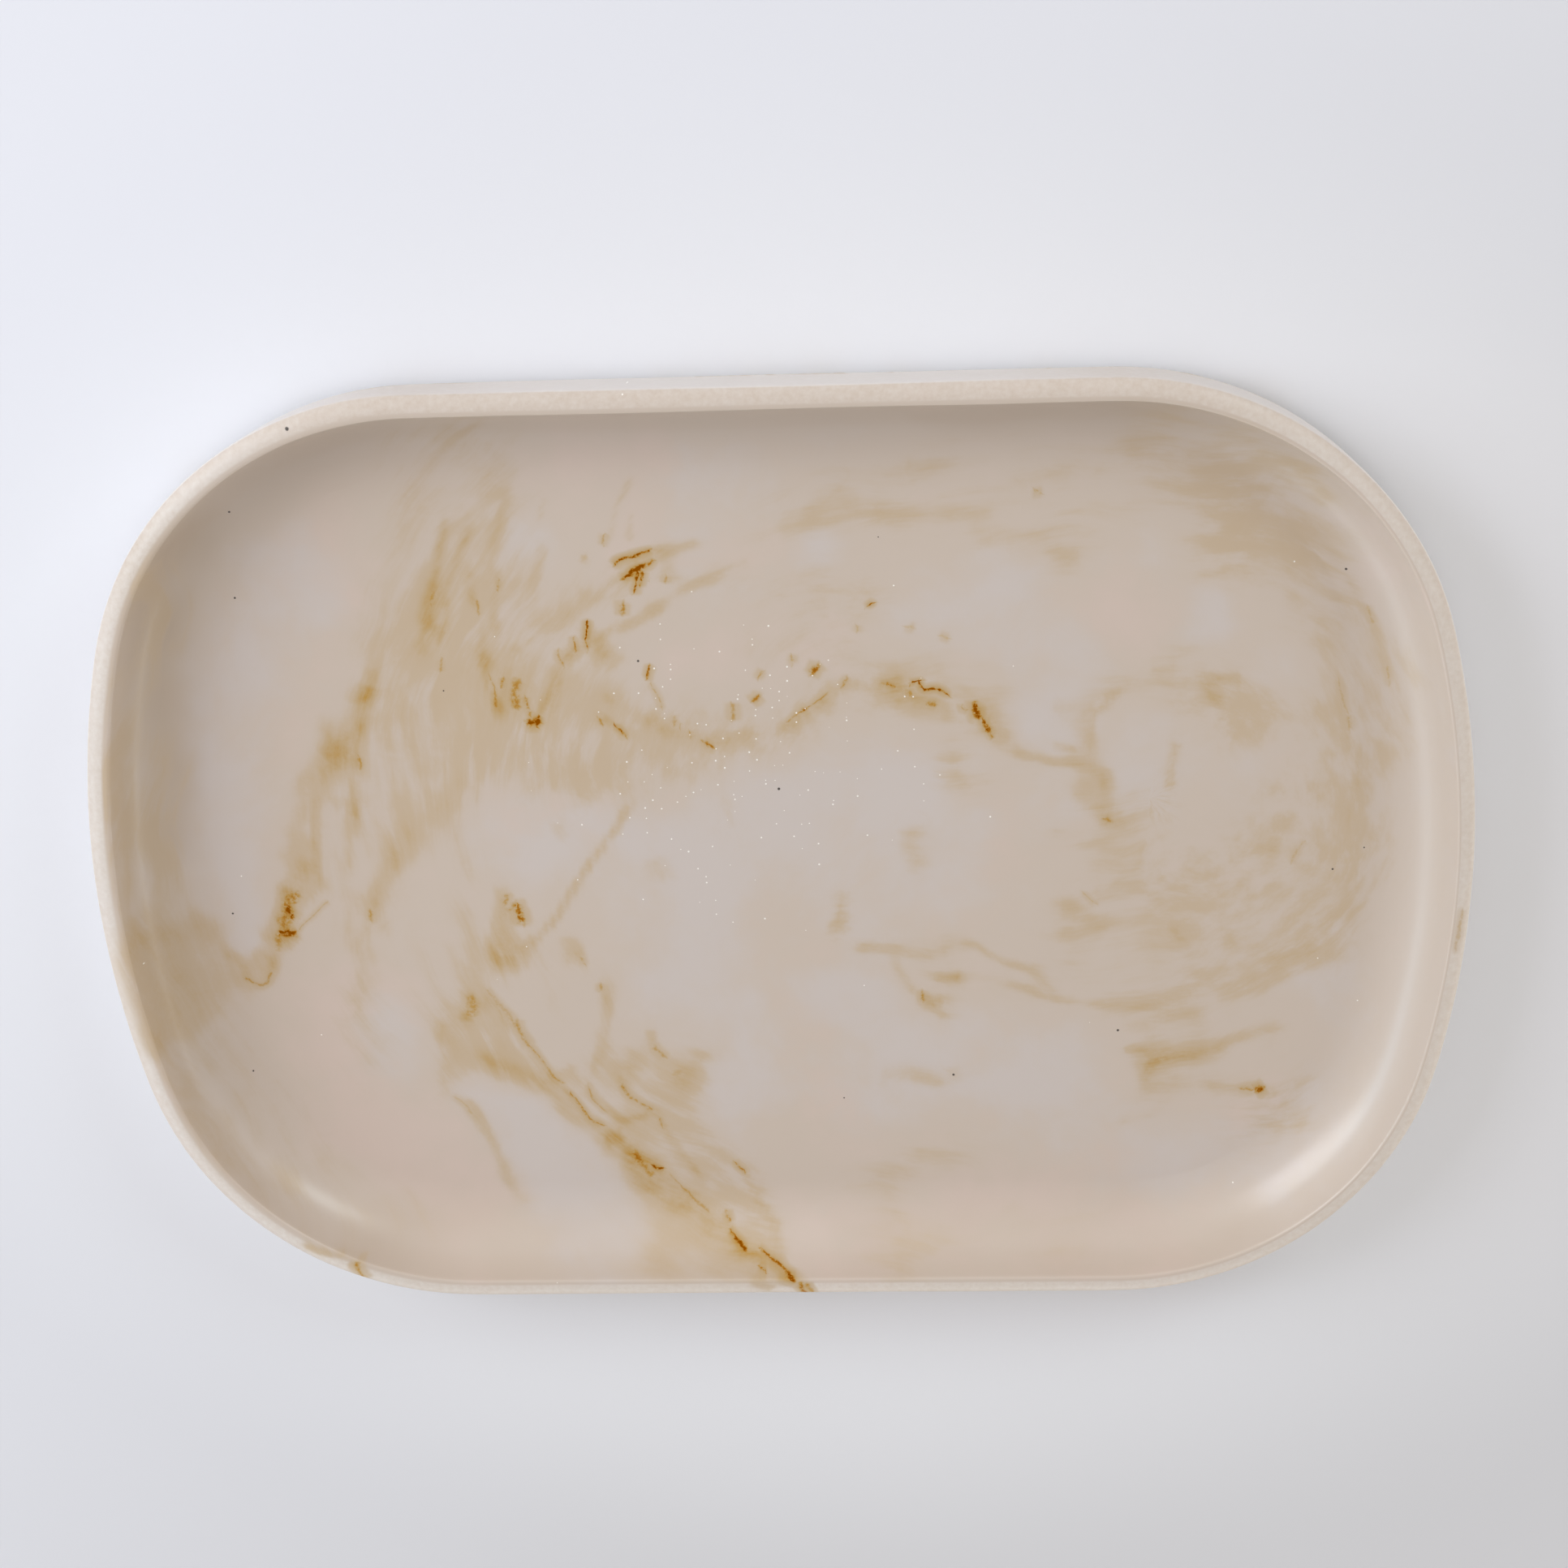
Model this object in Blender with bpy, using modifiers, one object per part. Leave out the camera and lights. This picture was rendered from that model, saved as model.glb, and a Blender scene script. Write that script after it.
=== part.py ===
# A shallow coved tray, cast in one piece from marble-look resin, on four stick-on pads.
# Metres, +Z up. The tray lies flat, with its long sides along X.
# The origin is under the middle of the tray, on the surface that its pads stand on.

import math

import bmesh
import bpy

# The tray seen from above: straight long sides, bowed ends, round corners
TRAY_LENGTH = 0.300
TRAY_WIDTH = 0.213
CORNER_RADIUS = 0.073
END_RADIUS = 0.212

# The tray in section: heights are above the base, insets are from the widest outline
TRAY_HEIGHT = 0.020
FLOOR_THICKNESS = 0.005
RIM_WIDTH = 0.0042
RIM_FALL = 0.0028          # the crowned rim's outer edge lies this much below its inner edge
CROWN_RADIUS = 0.006
COVE_RADIUS = 0.0155       # where the inside wall runs into the floor
WALL_DRAFT = math.radians(7)
BASE_INSET = 0.002         # the outer wall leans in by this much, from the rim to the base

# Rounding of the three edges that run all round the tray
RIM_INNER_FILLET = 0.0004
RIM_OUTER_FILLET = 0.0003
BASE_FILLET = 0.0008

# The pads, one near each corner
PAD_DIAMETER = 0.012
PAD_THICKNESS = 0.002
PAD_FILLET = 0.0003
PAD_INSET = 0.020          # from the base's edge to a pad's middle, across the corner
PAD_GAP = 0.0003           # the clearance between a pad and the base

# How finely the curves are cut up
CORNER_STEPS = 13
END_STEPS = 8
CROWN_STEPS = 5
COVE_STEPS = 9
FILLET_STEPS = 2
PAD_SIDES = 32

BASE_HEIGHT = PAD_THICKNESS + PAD_GAP


def corner_centre():
    # The corner arc touches the long side's line and, from inside, the end's long arc
    half_width = TRAY_WIDTH / 2 - CORNER_RADIUS
    reach = math.sqrt((END_RADIUS - CORNER_RADIUS) ** 2 - half_width ** 2)
    return TRAY_LENGTH / 2 - END_RADIUS + reach, half_width


def arc(centre, radius, start, end, steps):
    # Points on an arc, both ends included; angles run anticlockwise from +X
    angles = [start + (end - start) * step / steps for step in range(steps + 1)]
    return [(centre[0] + radius * math.cos(a), centre[1] + radius * math.sin(a)) for a in angles]


def outline():
    # The widest outline, anticlockwise: one end, with the corner before and after it, then the other
    x, y = corner_centre()
    bow = math.asin(y / (END_RADIUS - CORNER_RADIUS))
    end_centre = (TRAY_LENGTH / 2 - END_RADIUS, 0)
    right = arc((x, -y), CORNER_RADIUS, -math.pi / 2, -bow, CORNER_STEPS)
    right += arc(end_centre, END_RADIUS, -bow, bow, END_STEPS)[1:]
    right += arc((x, y), CORNER_RADIUS, bow, math.pi / 2, CORNER_STEPS)[1:]
    return right + [(-px, -py) for px, py in right]


def crown():
    # The rim's crowned top, as (inset, height) from its outer edge to its inner edge
    slope = math.atan2(RIM_FALL, RIM_WIDTH)
    half_turn = math.asin(math.hypot(RIM_FALL, RIM_WIDTH) / 2 / CROWN_RADIUS)
    inner = math.pi / 2 + slope - half_turn
    outer = math.pi / 2 + slope + half_turn
    centre = (
        RIM_WIDTH - CROWN_RADIUS * math.cos(inner),
        TRAY_HEIGHT - CROWN_RADIUS * math.sin(inner),
    )
    return arc(centre, CROWN_RADIUS, outer, inner, CROWN_STEPS)


def inside_wall():
    # From the rim's inner edge down the wall and round the cove to the floor
    depth = TRAY_HEIGHT - FLOOR_THICKNESS
    radius = min(COVE_RADIUS, depth / (1 - math.sin(WALL_DRAFT)))
    straight = depth - radius * (1 - math.sin(WALL_DRAFT))
    centre = (
        RIM_WIDTH + straight * math.tan(WALL_DRAFT) + radius * math.cos(WALL_DRAFT),
        FLOOR_THICKNESS + radius,
    )
    cove = arc(centre, radius, math.pi + WALL_DRAFT, math.pi * 3 / 2, COVE_STEPS)
    return [(RIM_WIDTH, TRAY_HEIGHT)] + cove


def inset_along(bm, face, section):
    # Draws the face in and up or down, from each point of the section to the next
    for (inset, height), (next_inset, next_height) in zip(section, section[1:]):
        if next_inset > inset:
            bmesh.ops.inset_individual(
                bm, faces=[face], use_even_offset=True,
                thickness=next_inset - inset, depth=next_height - height,
            )


def make_material(name, color, roughness):
    material = bpy.data.materials.new(name)
    material.use_nodes = True
    shader = material.node_tree.nodes["Principled BSDF"]
    shader.inputs["Base Color"].default_value = (*color, 1)
    shader.inputs["Roughness"].default_value = roughness
    return material


def finish_mesh(mesh, material):
    mesh.materials.append(material)
    mesh.shade_smooth()
    mesh.set_sharp_from_angle(angle=math.radians(30))


def make_tray(collection):
    bm = bmesh.new()
    weight = bm.edges.layers.float.new("bevel_weight_edge")

    # The rim's outer edge comes first, as one flat face
    points = outline()
    rim_edge_height = BASE_HEIGHT + TRAY_HEIGHT - RIM_FALL
    ring = bmesh.ops.create_circle(bm, cap_ends=True, segments=len(points), radius=1)["verts"]
    for vert, (x, y) in zip(ring, points):
        vert.co = (x, y, rim_edge_height)
    top = bm.faces[:][0]
    top.normal_update()
    if top.normal.z < 0:
        top.normal_flip()
    fillets = [(top.edges[:], RIM_OUTER_FILLET)]

    # Above it the crown, then the inside wall and the cove, down to the floor
    inset_along(bm, top, crown())
    fillets.append((top.edges[:], RIM_INNER_FILLET))
    inset_along(bm, top, inside_wall())

    # Below it the outer wall, down to the base
    open_edges = [edge for edge in bm.edges if edge.is_boundary]
    base = bmesh.ops.contextual_create(bm, geom=open_edges)["faces"][0]
    base.normal_update()
    if base.normal.z > 0:
        base.normal_flip()
    bmesh.ops.inset_individual(
        bm, faces=[base], use_even_offset=True,
        thickness=BASE_INSET, depth=TRAY_HEIGHT - RIM_FALL,
    )
    fillets.append((base.edges[:], BASE_FILLET))

    # The Bevel modifier's width is the largest fillet, and each edge's weight is its share of that
    largest_fillet = max(fillet for edges, fillet in fillets)
    for edges, fillet in fillets:
        for edge in edges:
            edge[weight] = fillet / largest_fillet

    mesh = bpy.data.meshes.new("tray_body")
    bm.to_mesh(mesh)
    bm.free()
    finish_mesh(mesh, make_material("cast_resin", (0.64, 0.55, 0.47), 0.32))
    tray = bpy.data.objects.new("tray_body", mesh)
    collection.objects.link(tray)

    rounding = tray.modifiers.new("edge_rounding", "BEVEL")
    rounding.limit_method = "WEIGHT"
    rounding.width = largest_fillet
    rounding.segments = FILLET_STEPS
    return tray


def pad_places():
    # On each corner's diagonal, the same distance in from the edge of the base
    x, y = corner_centre()
    reach = (CORNER_RADIUS - BASE_INSET - PAD_INSET) * math.cos(math.pi / 4)
    return {
        "foot_pad_front_left": (-x - reach, -y - reach),
        "foot_pad_front_right": (x + reach, -y - reach),
        "foot_pad_back_left": (-x - reach, y + reach),
        "foot_pad_back_right": (x + reach, y + reach),
    }


def make_pads(collection):
    bm = bmesh.new()
    bmesh.ops.create_cone(
        bm, cap_ends=True, segments=PAD_SIDES,
        radius1=PAD_DIAMETER / 2, radius2=PAD_DIAMETER / 2, depth=PAD_THICKNESS,
    )
    mesh = bpy.data.meshes.new("foot_pad")
    bm.to_mesh(mesh)
    bm.free()
    finish_mesh(mesh, make_material("pad_silicone", (0.52, 0.51, 0.49), 0.55))

    for name, (x, y) in pad_places().items():
        pad = bpy.data.objects.new(name, mesh)
        pad.location = (x, y, PAD_THICKNESS / 2)
        collection.objects.link(pad)
        rounding = pad.modifiers.new("edge_rounding", "BEVEL")
        rounding.limit_method = "ANGLE"
        rounding.width = PAD_FILLET
        rounding.segments = FILLET_STEPS


def main():
    for item in list(bpy.data.objects):
        bpy.data.objects.remove(item, do_unlink=True)
    collection = bpy.data.collections.new("tray")
    bpy.context.scene.collection.children.link(collection)
    make_tray(collection)
    make_pads(collection)


main()
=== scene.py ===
# A coved tray in marbled cast resin, on four stick-on pads, seen from above on a pale floor.
# Metres throughout; the tray lies flat with its long sides along X.
import math

import bmesh
import bpy
import numpy as np
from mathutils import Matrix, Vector, noise


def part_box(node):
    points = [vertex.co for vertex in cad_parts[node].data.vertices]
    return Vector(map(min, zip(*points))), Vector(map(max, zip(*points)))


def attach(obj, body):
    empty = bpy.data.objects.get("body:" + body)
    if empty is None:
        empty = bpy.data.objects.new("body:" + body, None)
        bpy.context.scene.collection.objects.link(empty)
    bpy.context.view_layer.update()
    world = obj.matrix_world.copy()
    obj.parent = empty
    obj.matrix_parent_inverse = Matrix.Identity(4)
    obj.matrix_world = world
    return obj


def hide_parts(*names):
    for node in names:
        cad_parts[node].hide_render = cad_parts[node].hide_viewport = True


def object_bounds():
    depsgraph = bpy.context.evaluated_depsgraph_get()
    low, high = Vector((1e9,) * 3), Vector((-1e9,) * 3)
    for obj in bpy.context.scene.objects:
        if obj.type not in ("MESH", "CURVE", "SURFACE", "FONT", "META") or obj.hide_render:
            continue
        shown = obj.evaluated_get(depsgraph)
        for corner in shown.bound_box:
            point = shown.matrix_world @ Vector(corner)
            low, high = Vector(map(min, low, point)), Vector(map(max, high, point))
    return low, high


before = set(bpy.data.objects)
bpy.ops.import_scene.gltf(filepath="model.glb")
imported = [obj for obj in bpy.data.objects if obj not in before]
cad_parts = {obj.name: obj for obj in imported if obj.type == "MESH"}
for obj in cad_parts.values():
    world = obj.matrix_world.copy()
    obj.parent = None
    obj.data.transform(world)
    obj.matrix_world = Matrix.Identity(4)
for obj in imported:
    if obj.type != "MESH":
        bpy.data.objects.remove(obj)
cadLow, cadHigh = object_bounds()
mm = 0.001
touching = 0.01 * mm          # points this close are in the same place

bodyLow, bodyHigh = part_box("tray_body")
scene = bpy.context.scene
scene.view_settings.view_transform = "Standard"
noise.seed_set(1)     # the marbling wanders the same way each time


# Small helpers for modelling

def deselectAll():
    for item in list(bpy.context.selected_objects):
        item.select_set(False)


def selectOnly(obj):
    deselectAll()
    obj.select_set(True)
    bpy.context.view_layer.objects.active = obj


def applyModifiers(obj):
    selectOnly(obj)
    for modifier in list(obj.modifiers):
        bpy.ops.object.modifier_apply(modifier=modifier.name)


def applyPlace(obj):
    selectOnly(obj)
    bpy.ops.object.transform_apply(location=True, rotation=True, scale=True)


def editMode():
    bpy.ops.object.mode_set(mode="EDIT")


def objectMode():
    bpy.ops.object.mode_set(mode="OBJECT")


def pickElements(obj, kind, wanted):
    # In edit mode: selects the edges or faces for which wanted is true, and nothing else
    bpy.ops.mesh.select_mode(type={"edges": "EDGE", "faces": "FACE"}[kind])
    bpy.ops.mesh.select_all(action="DESELECT")
    mesh = bmesh.from_edit_mesh(obj.data)
    for element in getattr(mesh, kind):
        if wanted(element):
            element.select_set(True)
    mesh.select_flush_mode()
    bmesh.update_edit_mesh(obj.data)


def atHeight(edge, height):
    return all(abs(vert.co.z - height) < touching for vert in edge.verts)


def turnsAt(edge):
    # True where the surface turns a real corner along the edge
    return edge.is_manifold and edge.calc_face_angle() > math.radians(20)


# Small helpers for materials

def workIn(owner):
    # The helpers below add their nodes to this material or world
    global nodeTree
    owner.use_nodes = True
    nodeTree = owner.node_tree
    return nodeTree.nodes


def startMaterial(name):
    material = bpy.data.materials.new(name)
    return material, workIn(material)["Principled BSDF"]


def srgb(red, green, blue):
    # A colour on the usual 0 to 255 scale, made linear
    shares = [value / 255 for value in (red, green, blue)]
    return tuple(s / 12.92 if s <= 0.04045 else ((s + 0.055) / 1.055) ** 2.4 for s in shares) + (1,)


def setInputs(node, inputs):
    # Another node's socket is linked, and anything else is set
    for key, value in inputs.items():
        if isinstance(value, bpy.types.NodeSocket):
            nodeTree.links.new(value, node.inputs[key])
        else:
            node.inputs[key].default_value = value


def addNode(kind, inputs=None, **settings):
    node = nodeTree.nodes.new("ShaderNode" + kind)
    for key, value in settings.items():
        setattr(node, key, value)
    setInputs(node, inputs or {})
    return node


def calc(operation, first, second=0.0, third=0.0, clamp=False):
    inputs = {0: first, 1: second, 2: third}
    return addNode("Math", inputs, operation=operation, use_clamp=clamp).outputs[0]


def vectorCalc(operation, first, second=(0, 0, 0), third=(0, 0, 0), output=0):
    inputs = {0: first, 1: second, 2: third}
    return addNode("VectorMath", inputs, operation=operation).outputs[output]


def lengthOf(vector):
    return vectorCalc("LENGTH", vector, output="Value")


def scaled(vector, factor):
    return addNode("VectorMath", {0: vector, "Scale": factor}, operation="SCALE").outputs[0]


def separate(vector):
    return addNode("SeparateXYZ", {0: vector}).outputs


def painted(name):
    # The three numbers that were painted on the mesh under this name
    return separate(addNode("Attribute", attribute_name=name).outputs["Vector"])


def blendColors(amount, first, second):
    return addNode("Mix", {0: amount, 6: first, 7: second}, data_type="RGBA").outputs[2]


def smoothRange(value, low, high, toLow=0.0, toHigh=1.0):
    inputs = {0: value, 1: low, 2: high, 3: toLow, 4: toHigh}
    return addNode("MapRange", inputs, interpolation_type="SMOOTHSTEP").outputs[0]


def fadeOut(value, low, high, strength=1.0):
    return smoothRange(value, low, high, strength, 0.0)


def noiseAt(vector, size, detail=3.0, roughness=0.5, output="Fac"):
    inputs = {"Vector": vector, "Scale": 1 / size, "Detail": detail, "Roughness": roughness}
    return addNode("TexNoise", inputs).outputs[output]


def centred(value):
    return calc("SUBTRACT", value, 0.5)


def addBump(place, size, detail, strength, depth, over=None):
    bump = {"Height": noiseAt(place, size, detail), "Strength": strength, "Distance": depth}
    if over:
        bump["Normal"] = over
    return addNode("Bump", bump).outputs[0]


# The tray

trayShape = {
    "height": 20 * mm,
    "floorThickness": 5 * mm,
    "cornerRadius": 73 * mm,
    "endRadius": 212 * mm,       # the bowed ends
    "rimWidth": 4.75 * mm,
    "rimFall": 1.8 * mm,         # the rim's outer edge is this much lower than its lip
    "crownRadius": 6 * mm,
    "dishShift": (0.65 * mm, 0, 0),     # the dish sits a little off centre, so the rim isn't even
    "coveRadius": 15.5 * mm,
    "wallLean": math.radians(7),
    "baseInset": 2 * mm,         # the outer wall leans in towards the base
    "lipRounding": 0.4 * mm,
    "rimRounding": 0.35 * mm,
    "baseRounding": 0.9 * mm,
    "baseMargin": 6 * mm,        # a ring of faces this wide keeps the base's edge crisp
    "endSteps": 12,              # for each quarter of the outline, before smoothing
    "cornerSteps": 22,
    "sideSteps": 16,
    "crownSteps": 3,
    "coveSteps": 6,
    "wallSteps": 4,
    "smoothing": 2,
    "handFinish": 0.2 * mm,      # how far the surface wanders, as sanded by hand
    "handFinishSize": 45 * mm,
}


def arcPoints(centre, radius, start, end, steps):
    angles = [start + (end - start) * step / steps for step in range(steps + 1)]
    return [(centre[0] + radius * math.cos(a), centre[1] + radius * math.sin(a)) for a in angles]


def rimSection(shape):
    # The crowned rim as (inset, height over the base), from its outer edge to its lip
    radius = shape["crownRadius"]
    slope = math.atan2(shape["rimFall"], shape["rimWidth"])
    half = math.asin(math.hypot(shape["rimFall"], shape["rimWidth"]) / 2 / radius)
    inner = math.pi / 2 + slope - half
    centre = (shape["rimWidth"] - radius * math.cos(inner), shape["height"] - radius * math.sin(inner))
    return arcPoints(centre, radius, inner + 2 * half, inner, shape["crownSteps"])


def dishSection(shape):
    # From the lip down the wall and round the cove to the floor
    lean, radius = shape["wallLean"], shape["coveRadius"]
    straight = shape["height"] - shape["floorThickness"] - radius * (1 - math.sin(lean))
    centre = (
        shape["rimWidth"] + straight * math.tan(lean) + radius * math.cos(lean),
        radius + shape["floorThickness"],
    )
    cove = arcPoints(centre, radius, math.pi + lean, math.pi * 1.5, shape["coveSteps"])
    return [(shape["rimWidth"], shape["height"])] + cove


def insetAlong(section):
    # Draws the selected face in and down, from each point of the section to the next
    for (inset, height), (nextInset, nextHeight) in zip(section, section[1:]):
        bpy.ops.mesh.inset(
            thickness=nextInset - inset, depth=nextHeight - height, use_even_offset=True,
        )


def spinOn(centre, angle, steps):
    bpy.ops.mesh.spin(steps=steps, angle=angle, center=centre, axis=(0, 0, 1))


def modelTray(shape):
    halfLength, halfWidth = bodyHigh.x, bodyHigh.y
    lip = bodyLow.z + shape["height"]
    rimEdge = lip - shape["rimFall"]
    floor = bodyLow.z + shape["floorThickness"]
    cornerY = halfWidth - shape["cornerRadius"]
    reach = shape["endRadius"] - shape["cornerRadius"]
    cornerX = halfLength - shape["endRadius"] + math.sqrt(reach ** 2 - cornerY ** 2)
    bow = math.asin(cornerY / reach)

    # A quarter of the outline: one point, spun round the end and the corner, then drawn along the side
    deselectAll()
    bpy.ops.mesh.primitive_plane_add(size=shape["rimWidth"], location=(halfLength, 0, rimEdge))
    tray = bpy.context.object
    tray.name = tray.data.name = "marbled_tray"
    applyPlace(tray)
    editMode()
    bpy.ops.mesh.select_all(action="SELECT")
    bpy.ops.mesh.merge(type="CENTER")
    spinOn((halfLength - shape["endRadius"], 0, rimEdge), -bow, shape["endSteps"])
    spinOn((cornerX, cornerY, rimEdge), bow - math.pi / 2, shape["cornerSteps"])
    for step in range(shape["sideSteps"]):
        bpy.ops.mesh.extrude_region_move(
            TRANSFORM_OT_translate={"value": (-cornerX / shape["sideSteps"], 0, 0)},
        )
    objectMode()
    mirror = tray.modifiers.new("otherQuarters", "MIRROR")
    mirror.use_axis = (True, True, False)
    mirror.merge_threshold = touching
    applyModifiers(tray)

    # The rim and the dish, drawn in from the outline
    editMode()
    bpy.ops.mesh.select_all(action="SELECT")
    bpy.ops.mesh.edge_face_add()
    bpy.ops.mesh.normals_make_consistent(inside=False)
    if bmesh.from_edit_mesh(tray.data).faces[:][0].normal.z < 0:
        bpy.ops.mesh.flip_normals()
    insetAlong(rimSection(shape))
    bpy.ops.transform.translate(value=shape["dishShift"])
    insetAlong(dishSection(shape))

    # An even grid takes the place of the floor's one face
    bpy.ops.mesh.delete(type="ONLY_FACE")
    pickElements(tray, "edges", lambda edge: atHeight(edge, floor))
    bpy.ops.mesh.fill_grid(span=2 * (shape["endSteps"] + shape["cornerSteps"] // 2))

    # The outer wall, drawn down to the base
    pickElements(tray, "edges", lambda edge: edge.is_boundary)
    bpy.ops.mesh.edge_face_add()
    for step in range(shape["wallSteps"]):
        bpy.ops.mesh.inset(
            thickness=shape["baseInset"] / shape["wallSteps"],
            depth=(rimEdge - bodyLow.z) / shape["wallSteps"], use_even_offset=True,
        )
    bpy.ops.mesh.inset(thickness=shape["baseMargin"], use_even_offset=True)
    bpy.ops.mesh.delete(type="ONLY_FACE")

    # Three edges run all round, each rounded by its own amount
    for height, rounding in (
        (lip, shape["lipRounding"]), (rimEdge, shape["rimRounding"]), (bodyLow.z, shape["baseRounding"]),
    ):
        pickElements(tray, "edges", lambda edge: atHeight(edge, height) and turnsAt(edge))
        bpy.ops.mesh.bevel(offset=rounding, segments=1, affect="EDGES")
    objectMode()

    smooth = tray.modifiers.new("smooth", "SUBSURF")
    smooth.levels = smooth.render_levels = shape["smoothing"]
    applyModifiers(tray)
    editMode()
    pickElements(tray, "edges", lambda edge: edge.is_boundary)
    bpy.ops.mesh.edge_face_add()
    objectMode()

    # A cast and sanded surface is never quite true, though the base is, because it was ground flat
    overBase = bodyLow.z + shape["baseRounding"]
    upper = tray.vertex_groups.new(name="overBase")
    upper.add([v.index for v in tray.data.vertices if v.co.z > overBase], 1, "REPLACE")
    wander = bpy.data.textures.new("handFinish", "CLOUDS")
    wander.noise_scale = shape["handFinishSize"]
    finish = tray.modifiers.new("handFinish", "DISPLACE")
    finish.texture = wander
    finish.texture_coords = "LOCAL"
    finish.strength = 2 * shape["handFinish"]
    finish.vertex_group = upper.name
    applyModifiers(tray)
    tray.data.shade_smooth()
    print("tray drawn:", len(tray.data.polygons), "faces")
    return tray


# The marbling, and the painted shade on the walls. Each place is x,y in millimetres from the middle of the
# tray, +Y on the far side

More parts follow.
